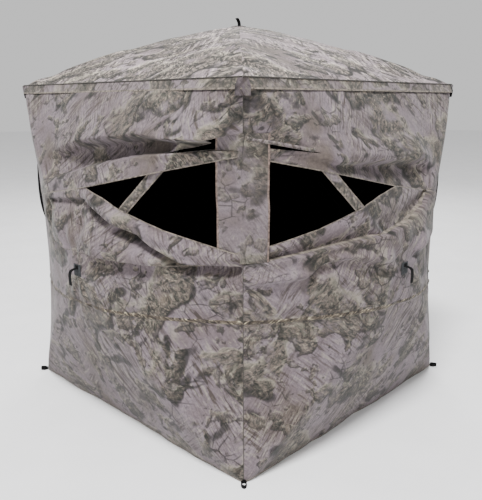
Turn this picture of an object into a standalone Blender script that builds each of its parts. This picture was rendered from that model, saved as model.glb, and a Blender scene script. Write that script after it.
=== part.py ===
"""Pop up ground blind: five spring hubs, twenty bowed poles, and a camouflage fabric shell.

Metres, +Z up. The floor is z = 0 and the square footprint is centred on the origin.
Each wall has a frame of its own: u runs -1 to 1 across it, towards the window corner,
c runs -1 to 1 from the floor to the eave, and depth is measured outwards from the
vertical plane through the wall's two base corners.
"""

import math

import bmesh
import bpy
from mathutils import Matrix, Vector

# ---- driving dimensions ----
HALF_SIDE = 0.7365
EAVE_HEIGHT = 1.490
WALL_BULGE = 0.212
ROOF_RISE = 0.268
FABRIC_DOME = 0.038
CORNER_PULL = 0.0495
FABRIC_THICK = 0.0025
SEAM_GAP = 0.0005

# ---- fabric shell ----
WALL_TOP = EAVE_HEIGHT - FABRIC_THICK - 2 * SEAM_GAP
HALF_HEIGHT = WALL_TOP / 2
ROOF_OVERHANG = 0.006
GRID = 12
WALL_END = 1 - SEAM_GAP / HALF_SIDE

# Heights on a wall: the upper hem is straight, the lower hem is a bent line of (u, z).
UPPER_HEM_MID = 1.075
UPPER_HEM_SLOPE = 0.154
FAR_HEM_SLOPE = 0.125
WINDOW_TIP_U = 0.02
LOWER_HEM = ((0.20, 1.052), (0.42, 1.010), (0.625, 0.957), (1.10, 0.860))
SLIT_START_U = 0.625
SLIT_START_Z = 1.234
SLIT_LOW_SLOPE = 0.085
SLIT_HIGH_SLOPE = 0.200
PANEL_U = 0.878
PANEL_LOW = 0.845
PANEL_HIGH = 1.308
STRAP_WIDTH = 0.044
VALANCE_DROP = 0.038
VALANCE_OFFSET = 0.0025
VALANCE_THICK = 0.0020

# ---- hubs and poles ----
POLE_RADIUS = 0.004
TIP_RADIUS = 0.0055
TIP_LENGTH = 0.030
TIP_SHORT = 0.050
TIP_DEPTH = -0.002
POLE_BOW = 0.036
POLE_SIDES = 6
POLE_STEPS = 7
PIVOT_RADIUS = 0.030
PIVOT_BELOW = 0.020
PIN_RADIUS = 0.0015
PIN_CLEARANCE = 0.0004
EYE_RADIUS = 0.0050
EYE_HALF_WIDTH = 0.0038
HUB_RADIUS = 0.024
HUB_LOW = -0.010
HUB_HIGH = 0.0115
CHEEK_INNER = 0.0044
CHEEK_OUTER = 0.0074
CHEEK_REACH = 0.036
CHEEK_HALF_HEIGHT = 0.0065

# ---- pieces carried on the outside of each hub ----
PATCH_RADIUS = 0.045
HOLE_RADIUS = 0.048
TAB_DROP = 0.057
TAB_REACH = 0.037
TAB_WIDTH = 0.020
TAB_THICK = 0.0016
SQUARE_PATCH = 0.050
TAB_LIFT = 0.0004

# ---- door, zip and stake loops ----
DOOR_HINGE = 0.140
DOOR_FREE = 0.520
DOOR_REACH = 0.78
DOOR_GAP = 0.002
HINGE_GAP = 0.007
ZIP_WIDTH = 0.008
ZIP_LIFT = 0.0006
ZIP_THICK = 0.0014
SLIDER_SIZE = (0.010, 0.0040, 0.018)
SLIDER_TAB = (0.006, 0.0016, 0.034)
SLIDER_LIFT = 0.0012
LOOP_LONG = 0.036
LOOP_WIDE = 0.022
LOOP_THICK = 0.0025
LOOP_HEIGHT = 0.016
LOOP_CLEAR = 0.0010

# Each wall's name, outward normal, and tangent towards its window corner. The two walls at
# the near corner have their windows open, and the two far walls have theirs fastened shut.
WALLS = (
    ("front", Vector((0, -1, 0)), Vector((1, 0, 0))),
    ("right", Vector((1, 0, 0)), Vector((0, -1, 0))),
    ("back", Vector((0, 1, 0)), Vector((-1, 0, 0))),
    ("left", Vector((-1, 0, 0)), Vector((0, 1, 0))),
)
OPEN_WALLS = ("front", "right")
UP = Vector((0, 0, 1))
ROOF_DIAGONAL = HALF_SIDE * math.sqrt(2)
WALL_DIAGONAL = math.hypot(HALF_SIDE, HALF_HEIGHT)


def clear_scene():
    for obj in list(bpy.data.objects):
        bpy.data.objects.remove(obj, do_unlink=True)


def material(name, colour, roughness, metallic=0.0):
    made = bpy.data.materials.new(name)
    made.use_nodes = True
    shader = made.node_tree.nodes["Principled BSDF"]
    shader.inputs["Base Color"].default_value = (*colour, 1)
    shader.inputs["Roughness"].default_value = roughness
    shader.inputs["Metallic"].default_value = metallic
    return made


def make_materials():
    return {
        "camo": material("camo_fabric", (0.26, 0.23, 0.22), 0.9),
        "roof": material("roof_fabric", (0.42, 0.39, 0.33), 0.9),
        "valance": material("valance_fabric", (0.33, 0.30, 0.26), 0.9),
        "webbing": material("black_webbing", (0.03, 0.03, 0.032), 0.8),
        "hub": material("hub_plastic", (0.04, 0.04, 0.045), 0.45),
        "pole": material("fibreglass_pole", (0.05, 0.05, 0.05), 0.35),
        "zip": material("zip_coil", (0.06, 0.06, 0.06), 0.5),
        "slider": material("zip_slider", (0.35, 0.34, 0.32), 0.35, 0.9),
    }


# ---- surfaces ----


def bow(r, height):
    """Height of a hub panel over its edge plane, at share r of the way from hub to edge."""
    return height * (1 - r) + 4 * FABRIC_DOME * r * (1 - r)


def corner_pull(u, c):
    return CORNER_PULL * max(0.0, u * u - c * c)


def wall_depth(u, c):
    return bow(max(abs(u), abs(c)), WALL_BULGE) - corner_pull(u, c)


def wall_to_world(wall, lateral, depth, z):
    _, normal, tangent = wall
    return tangent * lateral + normal * (HALF_SIDE + depth) + UP * z


def wall_point(wall, u, c, offset):
    """A point on the wall's surface moved outwards by offset, mitred at the corners."""
    lateral = u * (HALF_SIDE + offset) - math.copysign(corner_pull(u, c), u)
    return wall_to_world(wall, lateral, wall_depth(u, c) + offset, HALF_HEIGHT * (1 + c))


def roof_point(a, b, offset):
    half = HALF_SIDE + ROOF_OVERHANG
    rise = bow(max(abs(a), abs(b)), ROOF_RISE)
    return Vector((a * half, b * half, EAVE_HEIGHT + rise + offset))


# ---- mesh helpers ----


def object_from(bm, name, mat):
    bmesh.ops.recalc_face_normals(bm, faces=bm.faces)
    mesh = bpy.data.meshes.new(name)
    bm.to_mesh(mesh)
    bm.free()
    obj = bpy.data.objects.new(name, mesh)
    bpy.context.scene.collection.objects.link(obj)
    if mat:
        obj.data.materials.append(mat)
    return obj


def grid_shell(name, mat, outer, inner, columns, rows, crease=None):
    """A closed sheet between two grids of points; crease(i, j) turns a cell's diagonal."""
    bm = bmesh.new()
    sides = []
    for point in (outer, inner):
        sides.append(
            [[bm.verts.new(point(i, j)) for j in range(rows)] for i in range(columns)]
        )
    for side in sides:
        for i in range(columns - 1):
            for j in range(rows - 1):
                a, b = side[i][j], side[i + 1][j]
                d, e = side[i][j + 1], side[i + 1][j + 1]
                if crease and crease(i, j):
                    bm.faces.new((a, b, d))
                    bm.faces.new((b, e, d))
                else:
                    bm.faces.new((a, b, e))
                    bm.faces.new((a, e, d))
    rim = [(i, 0) for i in range(columns)]
    rim += [(columns - 1, j) for j in range(1, rows)]
    rim += [(i, rows - 1) for i in range(columns - 2, -1, -1)]
    rim += [(0, j) for j in range(rows - 2, 0, -1)]
    for (i, j), (k, m) in zip(rim, rim[1:] + rim[:1]):
        bm.faces.new((sides[0][i][j], sides[0][k][m], sides[1][k][m], sides[1][i][j]))
    return object_from(bm, name, mat)


def falling_diagonal(i, j):
    """True in the two quarters of a hub panel whose pole falls from left to right."""
    return (i < GRID // 2) != (j < GRID // 2)


def wall_shell(wall, name, mat, low, high):
    def point_at(offset):
        def point(i, j):
            u = WALL_END * (2 * i / GRID - 1)
            return wall_point(wall, u, 2 * j / GRID - 1, offset)

        return point

    return grid_shell(
        name, mat, point_at(high), point_at(low), GRID + 1, GRID + 1, falling_diagonal
    )


def prism(points_low, points_high, name, mat=None):
    """The solid between two matching outlines."""
    bm = bmesh.new()
    low = [bm.verts.new(p) for p in points_low]
    high = [bm.verts.new(p) for p in points_high]
    bm.faces.new(low)
    bm.faces.new(high)
    for i in range(len(low)):
        j = (i + 1) % len(low)
        bm.faces.new((low[i], low[j], high[j], high[i]))
    return object_from(bm, name, mat)


def wall_cutter(wall, outline, name):
    """A prism through a wall along its normal, from an outline of (lateral, z)."""
    reach = 0.6
    near = [wall_to_world(wall, x, -reach, z) for x, z in outline]
    far = [wall_to_world(wall, x, reach, z) for x, z in outline]
    return prism(near, far, name)


def combine(obj, helper, operation):
    """Applies an exact Boolean of helper to obj, and removes the helper."""
    modifier = obj.modifiers.new(operation.lower(), "BOOLEAN")
    modifier.operation = operation
    modifier.object = helper
    graph = bpy.context.evaluated_depsgraph_get()
    mesh = bpy.data.meshes.new_from_object(obj.evaluated_get(graph))
    obj.modifiers.clear()
    old = obj.data
    obj.data = mesh
    mesh.name = obj.name
    bpy.data.meshes.remove(old)
    bpy.data.objects.remove(helper, do_unlink=True)


def box(name, low, high, mat=None):
    corners = [(low[0], low[1]), (high[0], low[1]), (high[0], high[1]), (low[0], high[1])]
    return prism(
        [(x, y, low[2]) for x, y in corners], [(x, y, high[2]) for x, y in corners], name, mat
    )


def cylinder(name, radius, start, end, sides, mat=None):
    """A cylinder from start to end."""
    axis = (end - start).normalized()
    across = axis.orthogonal().normalized()
    beside = axis.cross(across)
    ring = [
        across * (radius * math.cos(2 * math.pi * k / sides))
        + beside * (radius * math.sin(2 * math.pi * k / sides))
        for k in range(sides)
    ]
    return prism([start + p for p in ring], [end + p for p in ring], name, mat)


def shade(obj):
    obj.data.shade_smooth()
    obj.data.set_sharp_from_angle(angle=math.radians(35))


def ring_outline(centre_x, centre_z, radius, drop, sides=24):
    """A circle stretched downwards by drop."""
    points = []
    for k in range(sides):
        angle = 2 * math.pi * k / sides
        z = centre_z + radius * math.sin(angle)
        if math.sin(angle) < 0:
            z -= drop
        points.append((centre_x + radius * math.cos(angle), z))
    return points


# ---- fabric ----


def upper_hem(u):
    slope = UPPER_HEM_SLOPE if u > 0 else FAR_HEM_SLOPE
    return UPPER_HEM_MID + slope * u


def hem_line(start, end, steps=8):
    """Points (lateral, z) along the upper hem."""
    line = []
    for k in range(steps + 1):
        u = start + (end - start) * k / steps
        line.append((u * HALF_SIDE, upper_hem(u)))
    return line


def upper_wall(wall, mats):
    obj = wall_shell(wall, f"upper_wall_{wall[0]}", mats["camo"], -FABRIC_THICK, 0)
    below = hem_line(-1.2, 1.2) + [(1.2 * HALF_SIDE, -0.2), (-1.2 * HALF_SIDE, -0.2)]
    combine(obj, wall_cutter(wall, below, "below_hem"), "DIFFERENCE")
    if wall[0] not in OPEN_WALLS:
        return obj
    reach = 1.2 - SLIT_START_U
    slit = [
        (SLIT_START_U * HALF_SIDE, SLIT_START_Z),
        (1.2 * HALF_SIDE, SLIT_START_Z + SLIT_LOW_SLOPE * reach),
        (1.2 * HALF_SIDE, SLIT_START_Z + SLIT_HIGH_SLOPE * reach),
    ]
    combine(obj, wall_cutter(wall, slit, "slit"), "DIFFERENCE")
    return obj


def lower_wall(wall, mats):
    obj = wall_shell(wall, f"lower_wall_{wall[0]}", mats["camo"], -FABRIC_THICK, 0)
    is_open = wall[0] in OPEN_WALLS
    closed_to = WINDOW_TIP_U if is_open else 1.2
    edge = [(x, z - 2 * SEAM_GAP) for x, z in hem_line(-1.2, closed_to)]
    if is_open:
        edge += [(u * HALF_SIDE, z) for u, z in LOWER_HEM]
    above = edge + [(1.2 * HALF_SIDE, 1.8), (-1.2 * HALF_SIDE, 1.8)]
    combine(obj, wall_cutter(wall, above, "above_hem"), "DIFFERENCE")
    hole = ring_outline(0, HALF_HEIGHT, HOLE_RADIUS, TAB_DROP - HOLE_RADIUS + 0.006)
    combine(obj, wall_cutter(wall, hole, "hub_hole"), "DIFFERENCE")
    return obj


def window_strap(wall, mats):
    """The fabric sleeve that carries the upper pole across the window."""
    obj = wall_shell(wall, f"window_strap_{wall[0]}", mats["camo"], -FABRIC_THICK, 0)
    run = math.atan2(HALF_HEIGHT, HALF_SIDE)
    along = Vector((math.cos(run), math.sin(run)))
    aside = Vector((-along.y, along.x)) * (STRAP_WIDTH / 2)
    start = along * (0.30 * WALL_DIAGONAL) + Vector((0, HALF_HEIGHT))
    end = along * (0.66 * WALL_DIAGONAL) + Vector((0, HALF_HEIGHT))
    band = [start - aside, end - aside, end + aside, start + aside]
    combine(obj, wall_cutter(wall, [tuple(p) for p in band], "band"), "INTERSECT")
    gap = 2 * SEAM_GAP
    below = [(u * HALF_SIDE, z + gap) for u, z in LOWER_HEM]
    below += [(1.10 * HALF_SIDE, 0.2), (0.20 * HALF_SIDE, 0.2)]
    combine(obj, wall_cutter(wall, below, "below_window"), "DIFFERENCE")
    above = [(x, z - gap) for x, z in hem_line(0.1, 1.1)]
    above += [(1.1 * HALF_SIDE, 1.8), (0.1 * HALF_SIDE, 1.8)]
    combine(obj, wall_cutter(wall, above, "above_window"), "DIFFERENCE")
    return obj


def corner_panel(first, second, name, mats):
    """The folded panel over a window corner, from one wall to the next."""
    columns = [(first, PANEL_U), (first, (1 + PANEL_U) / 2), (first, 1.0)]
    columns += [(second, (1 + PANEL_U) / 2), (second, PANEL_U)]
    rows = 7

    def point_at(offset):
        def point(i, j):
            wall, u = columns[i]
            z = PANEL_LOW + (PANEL_HIGH - PANEL_LOW) * j / (rows - 1)
            return wall_point(wall, u, z / HALF_HEIGHT - 1, offset)

        return point

    low, high = VALANCE_OFFSET, VALANCE_OFFSET + VALANCE_THICK
    return grid_shell(name, mats["camo"], point_at(high), point_at(low), len(columns), rows)


def eave_valance(mats):
    """The strip that hangs under the eave, all the way round."""
    top = WALL_TOP - SEAM_GAP
    low = top - VALANCE_DROP
    shoulder = low / HALF_HEIGHT - 1
    stations = []
    for index, wall in enumerate(WALLS):
        turn = 1 if index % 2 == 0 else -1
        for u in (-1.0, -shoulder, -0.5, 0.0, 0.5, shoulder):
            stations.append((wall, turn * u))
    inner, outer = VALANCE_OFFSET, VALANCE_OFFSET + VALANCE_THICK
    bm = bmesh.new()
    rings = []
    for z, offset in ((low, outer), (top, outer), (top, inner), (low, inner)):
        c = z / HALF_HEIGHT - 1
        rings.append([bm.verts.new(wall_point(w, u, c, offset)) for w, u in stations])
    count = len(stations)
    for k in range(4):
        here, there = rings[k], rings[(k + 1) % 4]
        for i in range(count):
            j = (i + 1) % count
            # Each corner cell folds along its pole, from the low shoulder to the top corner.
            if (abs(stations[i][1]) == 1) == (k == 2):
                bm.faces.new((here[i], here[j], there[j]))
                bm.faces.new((here[i], there[j], there[i]))
            else:
                bm.faces.new((here[i], here[j], there[i]))
                bm.faces.new((here[j], there[j], there[i]))
    return object_from(bm, "eave_valance", mats["valance"])


def roof_shell(name, mat):
    def point_at(offset):
        def point(i, j):
            return roof_point(2 * i / GRID - 1, 2 * j / GRID - 1, offset)

        return point

    return grid_shell(
        name, mat, point_at(0), point_at(-FABRIC_THICK), GRID + 1, GRID + 1, falling_diagonal
    )


def roof_column(radius, name):
    return cylinder(name, radius, Vector((0, 0, 1.0)), Vector((0, 0, 2.2)), 24)


# ---- hub and pole meshes, in the hub's own frame: +Z outwards, +X along a pole ----


def hub_mesh(mats):
    hub = cylinder(
        "hub", HUB_RADIUS, Vector((0, 0, HUB_LOW)), Vector((0, 0, HUB_HIGH)), 24, mats["hub"]
    )
    for quarter in range(4):
        turn = Matrix.Rotation(math.radians(90 * quarter), 4, "Z")
        for side in (-1, 1):
            inner, outer = sorted((side * CHEEK_INNER, side * CHEEK_OUTER))
            cheek = box(
                "cheek",
                (HUB_RADIUS - 0.006, inner, -CHEEK_HALF_HEIGHT),
                (CHEEK_REACH, outer, CHEEK_HALF_HEIGHT),
            )
            cheek.data.transform(turn)
            combine(hub, cheek, "UNION")
        across = Vector((0, CHEEK_OUTER - 0.001, 0))
        centre = Vector((PIVOT_RADIUS, 0, 0))
        pin = cylinder("pin", PIN_RADIUS, centre - across, centre + across, 8)
        pin.data.transform(turn)
        combine(hub, pin, "UNION")
    shade(hub)
    mesh = hub.data
    bpy.data.objects.remove(hub)
    return mesh


def pole_mesh(name, diagonal, height, mats):
    """A bowed pole with its pivot eye at the origin and its tip along +X."""
    length = diagonal - TIP_SHORT - PIVOT_RADIUS
    drop = height - PIVOT_BELOW - TIP_DEPTH
    start = 0.004 / length
    tip_start = 1 - TIP_LENGTH / length
    shares = [start + (tip_start - start) * k / POLE_STEPS for k in range(POLE_STEPS + 1)]
    rings = [(t, POLE_RADIUS) for t in shares]
    rings += [(tip_start + 0.002, TIP_RADIUS), (1.0, TIP_RADIUS)]
    bm = bmesh.new()
    loops = []
    for t, radius in rings:
        slope = math.atan2(-drop + 4 * POLE_BOW * (1 - 2 * t), length)
        centre = Vector((length * t, 0, -drop * t + 4 * POLE_BOW * t * (1 - t)))
        lift = Vector((-math.sin(slope), 0, math.cos(slope)))
        loop = []
        for k in range(POLE_SIDES):
            angle = 2 * math.pi * (k + 0.5) / POLE_SIDES
            aside = Vector((0, math.cos(angle), 0))
            loop.append(bm.verts.new(centre + radius * (lift * math.sin(angle) + aside)))
        loops.append(loop)
    for one, two in zip(loops, loops[1:]):
        for i in range(POLE_SIDES):
            j = (i + 1) % POLE_SIDES
            bm.faces.new((one[i], one[j], two[j], two[i]))
    bm.faces.new(loops[0])
    bm.faces.new(loops[-1])
    pole = object_from(bm, name, mats["pole"])
    half = Vector((0, EYE_HALF_WIDTH, 0))
    combine(pole, cylinder("eye", EYE_RADIUS, -half, half, 12), "UNION")
    combine(pole, cylinder("bore", PIN_RADIUS + PIN_CLEARANCE, -2 * half, 2 * half, 8), "DIFFERENCE")
    shade(pole)
    mesh = pole.data
    bpy.data.objects.remove(pole)
    return mesh


def strap_solid(name, route, width, thickness, mat):
    """A flat strap along route, a list of (across, outward) points, of the given width."""
    points = [Vector(p) for p in route]
    near, far = [], []
    for k, point in enumerate(points):
        ahead = points[min(k + 1, len(points) - 1)]
        behind = points[max(k - 1, 0)]
        along = (ahead - behind).normalized()
        aside = Vector((-along.y, along.x)) * (thickness / 2)
        near.append(point - aside)
        far.append(point + aside)
    outline = near + far[::-1]
    left = [Vector((-width / 2, p.x, p.y)) for p in outline]
    right = [Vector((width / 2, p.x, p.y)) for p in outline]
    return prism(left, right, name, mat)


def tab_mesh(name, route, mats):
    """The square patch and its pull strap; local -Y hangs down, +Z points outwards."""
    half = SQUARE_PATCH / 2
    patch = box(name, (-half, -half, 0), (half, half, 0.002), mats["webbing"])
    strap = strap_solid("strap", route, TAB_WIDTH, TAB_THICK, None)
    combine(patch, strap, "UNION")
    mesh = patch.data
    bpy.data.objects.remove(patch)
    return mesh


def placed(name, mesh, place, parent=None):
    obj = bpy.data.objects.new(name, mesh)
    bpy.context.scene.collection.objects.link(obj)
    obj.matrix_world = place
    if parent:
        keep_under(obj, parent)
    return obj


def keep_under(obj, parent):
    bpy.context.view_layer.update()
    world = obj.matrix_world.copy()
    obj.parent = parent
    obj.matrix_parent_inverse = parent.matrix_world.inverted()
    obj.matrix_world = world


def frame_matrix(x_axis, y_axis, z_axis, origin):
    made = Matrix((x_axis, y_axis, z_axis)).transposed().to_4x4()
    made.translation = origin
    return made


def hub_group(name, centre, outward, sideways, angles, hub, pole, tab, patch, mats):
    """A hub with its fabric patch, pull tab and four poles, under an empty on its slide axis."""
    up = outward.cross(sideways)
    pivot_centre = centre - outward * PIVOT_BELOW
    mover = bpy.data.objects.new(f"{name}_slide", None)
    bpy.context.scene.collection.objects.link(mover)
    mover.location = centre
    bpy.context.view_layer.update()
    diagonal_turn = Matrix.Rotation(math.radians(45), 4, "Z")
    base = frame_matrix(sideways, up, outward, pivot_centre)
    placed(f"hub_{name}", hub, base @ diagonal_turn, mover)
    keep_under(patch, mover)
    lifted = frame_matrix(sideways, up, outward, centre + outward * TAB_LIFT)
    placed(f"pull_tab_{name}", tab, lifted, mover)
    for label, angle in angles:
        radial = sideways * math.cos(angle) + up * math.sin(angle)
        place = frame_matrix(
            radial, outward.cross(radial), outward, pivot_centre + radial * PIVOT_RADIUS
        )
        placed(f"pole_{name}_{label}", pole, place, mover)


def wall_angles():
    tilt = math.atan2(HALF_HEIGHT, HALF_SIDE)
    return (
        ("upper_right", tilt),
        ("upper_left", math.pi - tilt),
        ("lower_left", math.pi + tilt),
        ("lower_right", -tilt),
    )


def roof_angles():
    labels = ("back_right", "back_left", "front_left", "front_right")
    return [(label, math.radians(45 + 90 * k)) for k, label in enumerate(labels)]


# ---- door ----


def door_outline(grow, hinge_grow):
    """The door's outline as (lateral, z), with the free side away from the windows."""
    hinge = -(DOOR_HINGE - hinge_grow)
    free = -(DOOR_FREE + grow)
    points = []
    for x, sign in ((hinge, -1), (free, -1), (free, 1), (hinge, 1)):
        half = DOOR_REACH * abs(x) * HALF_HEIGHT / HALF_SIDE
        points.append((x, HALF_HEIGHT + sign * (half + grow)))
    return points


def door(walls_to_cut, mats):
    wall = WALLS[2]
    for obj in walls_to_cut:
        cutter = wall_cutter(wall, door_outline(DOOR_GAP, HINGE_GAP), "doorway")
        combine(obj, cutter, "DIFFERENCE")
    flap = wall_shell(wall, "door_flap", mats["camo"], -FABRIC_THICK, 0)
    combine(flap, wall_cutter(wall, door_outline(0, 0), "flap_edge"), "INTERSECT")
    hinge_u = -DOOR_HINGE / HALF_SIDE
    hinge = wall_to_world(wall, -DOOR_HINGE, wall_depth(hinge_u, 0), HALF_HEIGHT)
    set_origin(flap, hinge)

    coil = wall_shell(wall, "door_zip", mats["zip"], ZIP_LIFT, ZIP_LIFT + ZIP_THICK)
    inner = DOOR_FREE + 2 * DOOR_GAP
    half = DOOR_REACH * DOOR_FREE * HALF_HEIGHT / HALF_SIDE
    low, high = HALF_HEIGHT - half, HALF_HEIGHT + half
    run = [(-inner, low), (-inner - ZIP_WIDTH, low), (-inner - ZIP_WIDTH, high), (-inner, high)]
    combine(coil, wall_cutter(wall, run, "zip_run"), "INTERSECT")

    end_u = (inner + ZIP_WIDTH / 2) / HALF_SIDE
    # The zip's two ends stand furthest out, because the wall is pulled in between them.
    depth = wall_depth(end_u, DOOR_REACH * end_u) + ZIP_LIFT + ZIP_THICK + SLIDER_LIFT
    width, thick, tall = SLIDER_SIZE
    slider = box("door_slider", (-width / 2, 0, -tall), (width / 2, thick, 0), mats["slider"])
    tab_width, tab_thick, tab_tall = SLIDER_TAB
    pull = box(
        "pull",
        (-tab_width / 2, thick - 0.0005, -tab_tall - 0.004),
        (tab_width / 2, thick + tab_thick, -0.006),
    )
    combine(slider, pull, "UNION")
    top = wall_to_world(wall, -inner - ZIP_WIDTH / 2, depth, high - 0.004)
    slider.matrix_world = frame_matrix(wall[2], wall[1], UP, top)


def set_origin(obj, origin):
    obj.data.transform(Matrix.Translation(-origin))
    obj.location = origin


# ---- stake loops ----


def stake_loop(name, across, mats):
    """A webbing ring outside a base corner, pointing out along the diagonal."""
    out = across.normalized()
    centre = across + out * (LOOP_LONG / 2 + LOOP_CLEAR)
    aside = UP.cross(out)
    sides = 16
    bm = bmesh.new()
    loops = []
    for shrink, z in (
        (0, 0.001),
        (0, 0.001 + LOOP_HEIGHT),
        (LOOP_THICK, 0.001 + LOOP_HEIGHT),
        (LOOP_THICK, 0.001),
    ):
        loop = []
        for k in range(sides):
            angle = 2 * math.pi * k / sides
            x = (LOOP_LONG / 2 - shrink) * math.cos(angle)
            y = (LOOP_WIDE / 2 - shrink) * math.sin(angle)
            loop.append(bm.verts.new(centre + out * x + aside * y + UP * z))
        loops.append(loop)
    for k in range(4):
        here, there = loops[k], loops[(k + 1) % 4]
        for i in range(sides):
            j = (i + 1) % sides
            bm.faces.new((here[i], here[j], there[j], there[i]))
    return object_from(bm, name, mats["webbing"])


# ---- assembly ----


def build():
    clear_scene()
    mats = make_materials()
    hub = hub_mesh(mats)
    wall_pole = pole_mesh("wall_pole", WALL_DIAGONAL, WALL_BULGE, mats)
    roof_pole = pole_mesh("roof_pole", ROOF_DIAGONAL, ROOF_RISE, mats)
    half_strap = TAB_THICK / 2
    wall_route = [
        (0.006, 0.001),
        (0.004, 0.6 * TAB_REACH),
        (-0.006, TAB_REACH - half_strap),
        (-0.018, TAB_REACH),
        (-TAB_DROP, TAB_REACH - 0.002),
    ]
    wall_tab = tab_mesh("wall_tab", wall_route, mats)
    roof_route = [(0.0, 0.001), (0.002, 0.016), (-0.004, 0.028), (-0.014, TAB_REACH)]
    roof_tab = tab_mesh("roof_tab", roof_route, mats)

    uppers, lowers = {}, {}
    for wall in WALLS:
        name, normal, _ = wall
        uppers[name] = upper_wall(wall, mats)
        lowers[name] = lower_wall(wall, mats)
        if name in OPEN_WALLS:
            window_strap(wall, mats)
        patch = wall_shell(wall, f"hub_patch_{name}", mats["camo"], -FABRIC_THICK, 0)
        disc = ring_outline(0, HALF_HEIGHT, PATCH_RADIUS, 0)
        combine(patch, wall_cutter(wall, disc, "disc"), "INTERSECT")
        centre = wall_to_world(wall, 0, WALL_BULGE, HALF_HEIGHT)
        sideways = UP.cross(normal)
        hub_group(name, centre, normal, sideways, wall_angles(), hub, wall_pole, wall_tab, patch, mats)

    roof = roof_shell("roof_canopy", mats["roof"])
    combine(roof, roof_column(HOLE_RADIUS, "roof_hole"), "DIFFERENCE")
    patch = roof_shell("hub_patch_roof", mats["roof"])
    combine(patch, roof_column(PATCH_RADIUS, "roof_disc"), "INTERSECT")
    apex = Vector((0, 0, EAVE_HEIGHT + ROOF_RISE))
    hub_group(
        "roof", apex, UP, Vector((1, 0, 0)), roof_angles(), hub, roof_pole, roof_tab, patch, mats
    )

    eave_valance(mats)
    front, right, back, left = WALLS
    corner_panel(front, right, "corner_panel_near", mats)
    corner_panel(back, left, "corner_panel_far", mats)
    door([uppers["back"], lowers["back"]], mats)
    for label, x, y in (
        ("front_right", 1, -1),
        ("back_right", 1, 1),
        ("back_left", -1, 1),
        ("front_left", -1, -1),
    ):
        stake_loop(f"stake_loop_{label}", Vector((x, y, 0)) * HALF_SIDE, mats)


build()
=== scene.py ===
"""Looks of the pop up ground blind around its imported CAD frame. Sizes are in metres.

A wall is described in its own square: u runs from -1 to 1 across it, towards the corner that holds
the windows, and c from -1 at the ground to 1 at the eave. Cloth is made as flat meshes in that
square, cut along hems and seams, then lifted onto the bowed surface with its folds.
"""

import math

import bmesh
import bpy
import numpy as np
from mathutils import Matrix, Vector


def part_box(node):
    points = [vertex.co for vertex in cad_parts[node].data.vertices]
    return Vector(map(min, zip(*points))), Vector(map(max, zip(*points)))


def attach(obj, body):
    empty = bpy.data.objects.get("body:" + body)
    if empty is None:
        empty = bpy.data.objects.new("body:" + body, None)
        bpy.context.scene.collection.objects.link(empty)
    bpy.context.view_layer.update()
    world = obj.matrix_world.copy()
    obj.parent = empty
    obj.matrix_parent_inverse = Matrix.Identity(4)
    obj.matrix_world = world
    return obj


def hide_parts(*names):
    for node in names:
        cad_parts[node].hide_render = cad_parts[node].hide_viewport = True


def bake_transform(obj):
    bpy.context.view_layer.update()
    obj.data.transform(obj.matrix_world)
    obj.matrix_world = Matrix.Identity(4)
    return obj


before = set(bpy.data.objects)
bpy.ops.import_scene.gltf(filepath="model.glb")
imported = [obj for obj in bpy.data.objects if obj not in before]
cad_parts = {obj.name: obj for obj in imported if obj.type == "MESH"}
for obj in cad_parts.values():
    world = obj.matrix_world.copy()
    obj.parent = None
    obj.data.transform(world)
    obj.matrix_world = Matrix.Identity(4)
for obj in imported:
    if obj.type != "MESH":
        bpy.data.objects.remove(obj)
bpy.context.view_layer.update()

# ---- sizes shared with the frame ----

HALF_SIDE = 0.7365
WALL_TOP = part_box("upper_wall_front")[1].z
HALF_HEIGHT = WALL_TOP / 2
EAVE_HEIGHT = WALL_TOP + 0.0035
WALL_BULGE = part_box("hub_patch_right")[1].x - HALF_SIDE
ROOF_RISE = 0.268
FABRIC_DOME = 0.038
CORNER_PULL = 0.0495
ROOF_OVERHANG = 0.006

# ---- cloth ----

CELLS_NEAR = 150
CELLS_FAR = 90
CELLS_ROOF = 110
CLOTH_THICK = 0.0010
RIDGE_SOFT = 0.010
NORMAL_STEP = 0.004
EDGE_FADE = 0.035
TOP_FADE = 0.12

UPPER_HEM_MID = 1.075
UPPER_HEM_SLOPE = 0.154
FAR_HEM_SLOPE = 0.125
LOWER_HEM = ((0.02, 1.078), (0.20, 1.052), (0.42, 1.010), (0.625, 0.957), (1.10, 0.860))
WINDOW_TIP_U = LOWER_HEM[0][0]
SLIT_START = (0.625, 1.234)
SLIT_SLOPES = (0.085, 0.200)
PANEL_U = 0.878
PANEL_LOW = 0.845
PANEL_HIGH = 1.308
SEAM_MID = 0.597
SEAM_SLOPE = 0.024
SEAM_HALF = 0.007
HEM_WIDTH = 0.004
SEWN_EDGE = 0.0035
STEP_RUN = 0.008
GROUND_HEM = 0.012
LINE_REACH = 0.025

# ---- door, in the back wall ----

DOOR_HINGE = 0.140
DOOR_FREE = 0.520
DOOR_REACH = 0.78
DOOR_GAP = 0.002
DOOR_BIND = 0.014
DOOR_INNER_REACH = DOOR_REACH - DOOR_BIND / HALF_SIDE * 1.6

# ---- walls, with their outward and sideways directions ----

WALLS = {
    "front": (Vector((0, -1, 0)), Vector((1, 0, 0))),
    "right": (Vector((1, 0, 0)), Vector((0, -1, 0))),
    "back": (Vector((0, 1, 0)), Vector((-1, 0, 0))),
    "left": (Vector((-1, 0, 0)), Vector((0, 1, 0))),
}
OPEN_WALLS = ("front", "right")
FLAP_WALLS = ("front", "left")
UP = Vector((0, 0, 1))
QUARTERS = ("top", "bottom", "high_u", "low_u")
CAMO, LINING, HEM, SEAM = range(4)


# ---- number helpers ----


def ease(t):
    t = np.clip(t, 0, 1)
    return t * t * (3 - 2 * t)


def bump(x, centre, half):
    """A smooth hill, 1 at centre and 0 beyond half either side."""
    return ease(1 - np.abs(x - centre) / half)


def soft_max(a, b, soft=RIDGE_SOFT):
    return 0.5 * (a + b + np.sqrt((a - b) ** 2 + soft * soft))


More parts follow.
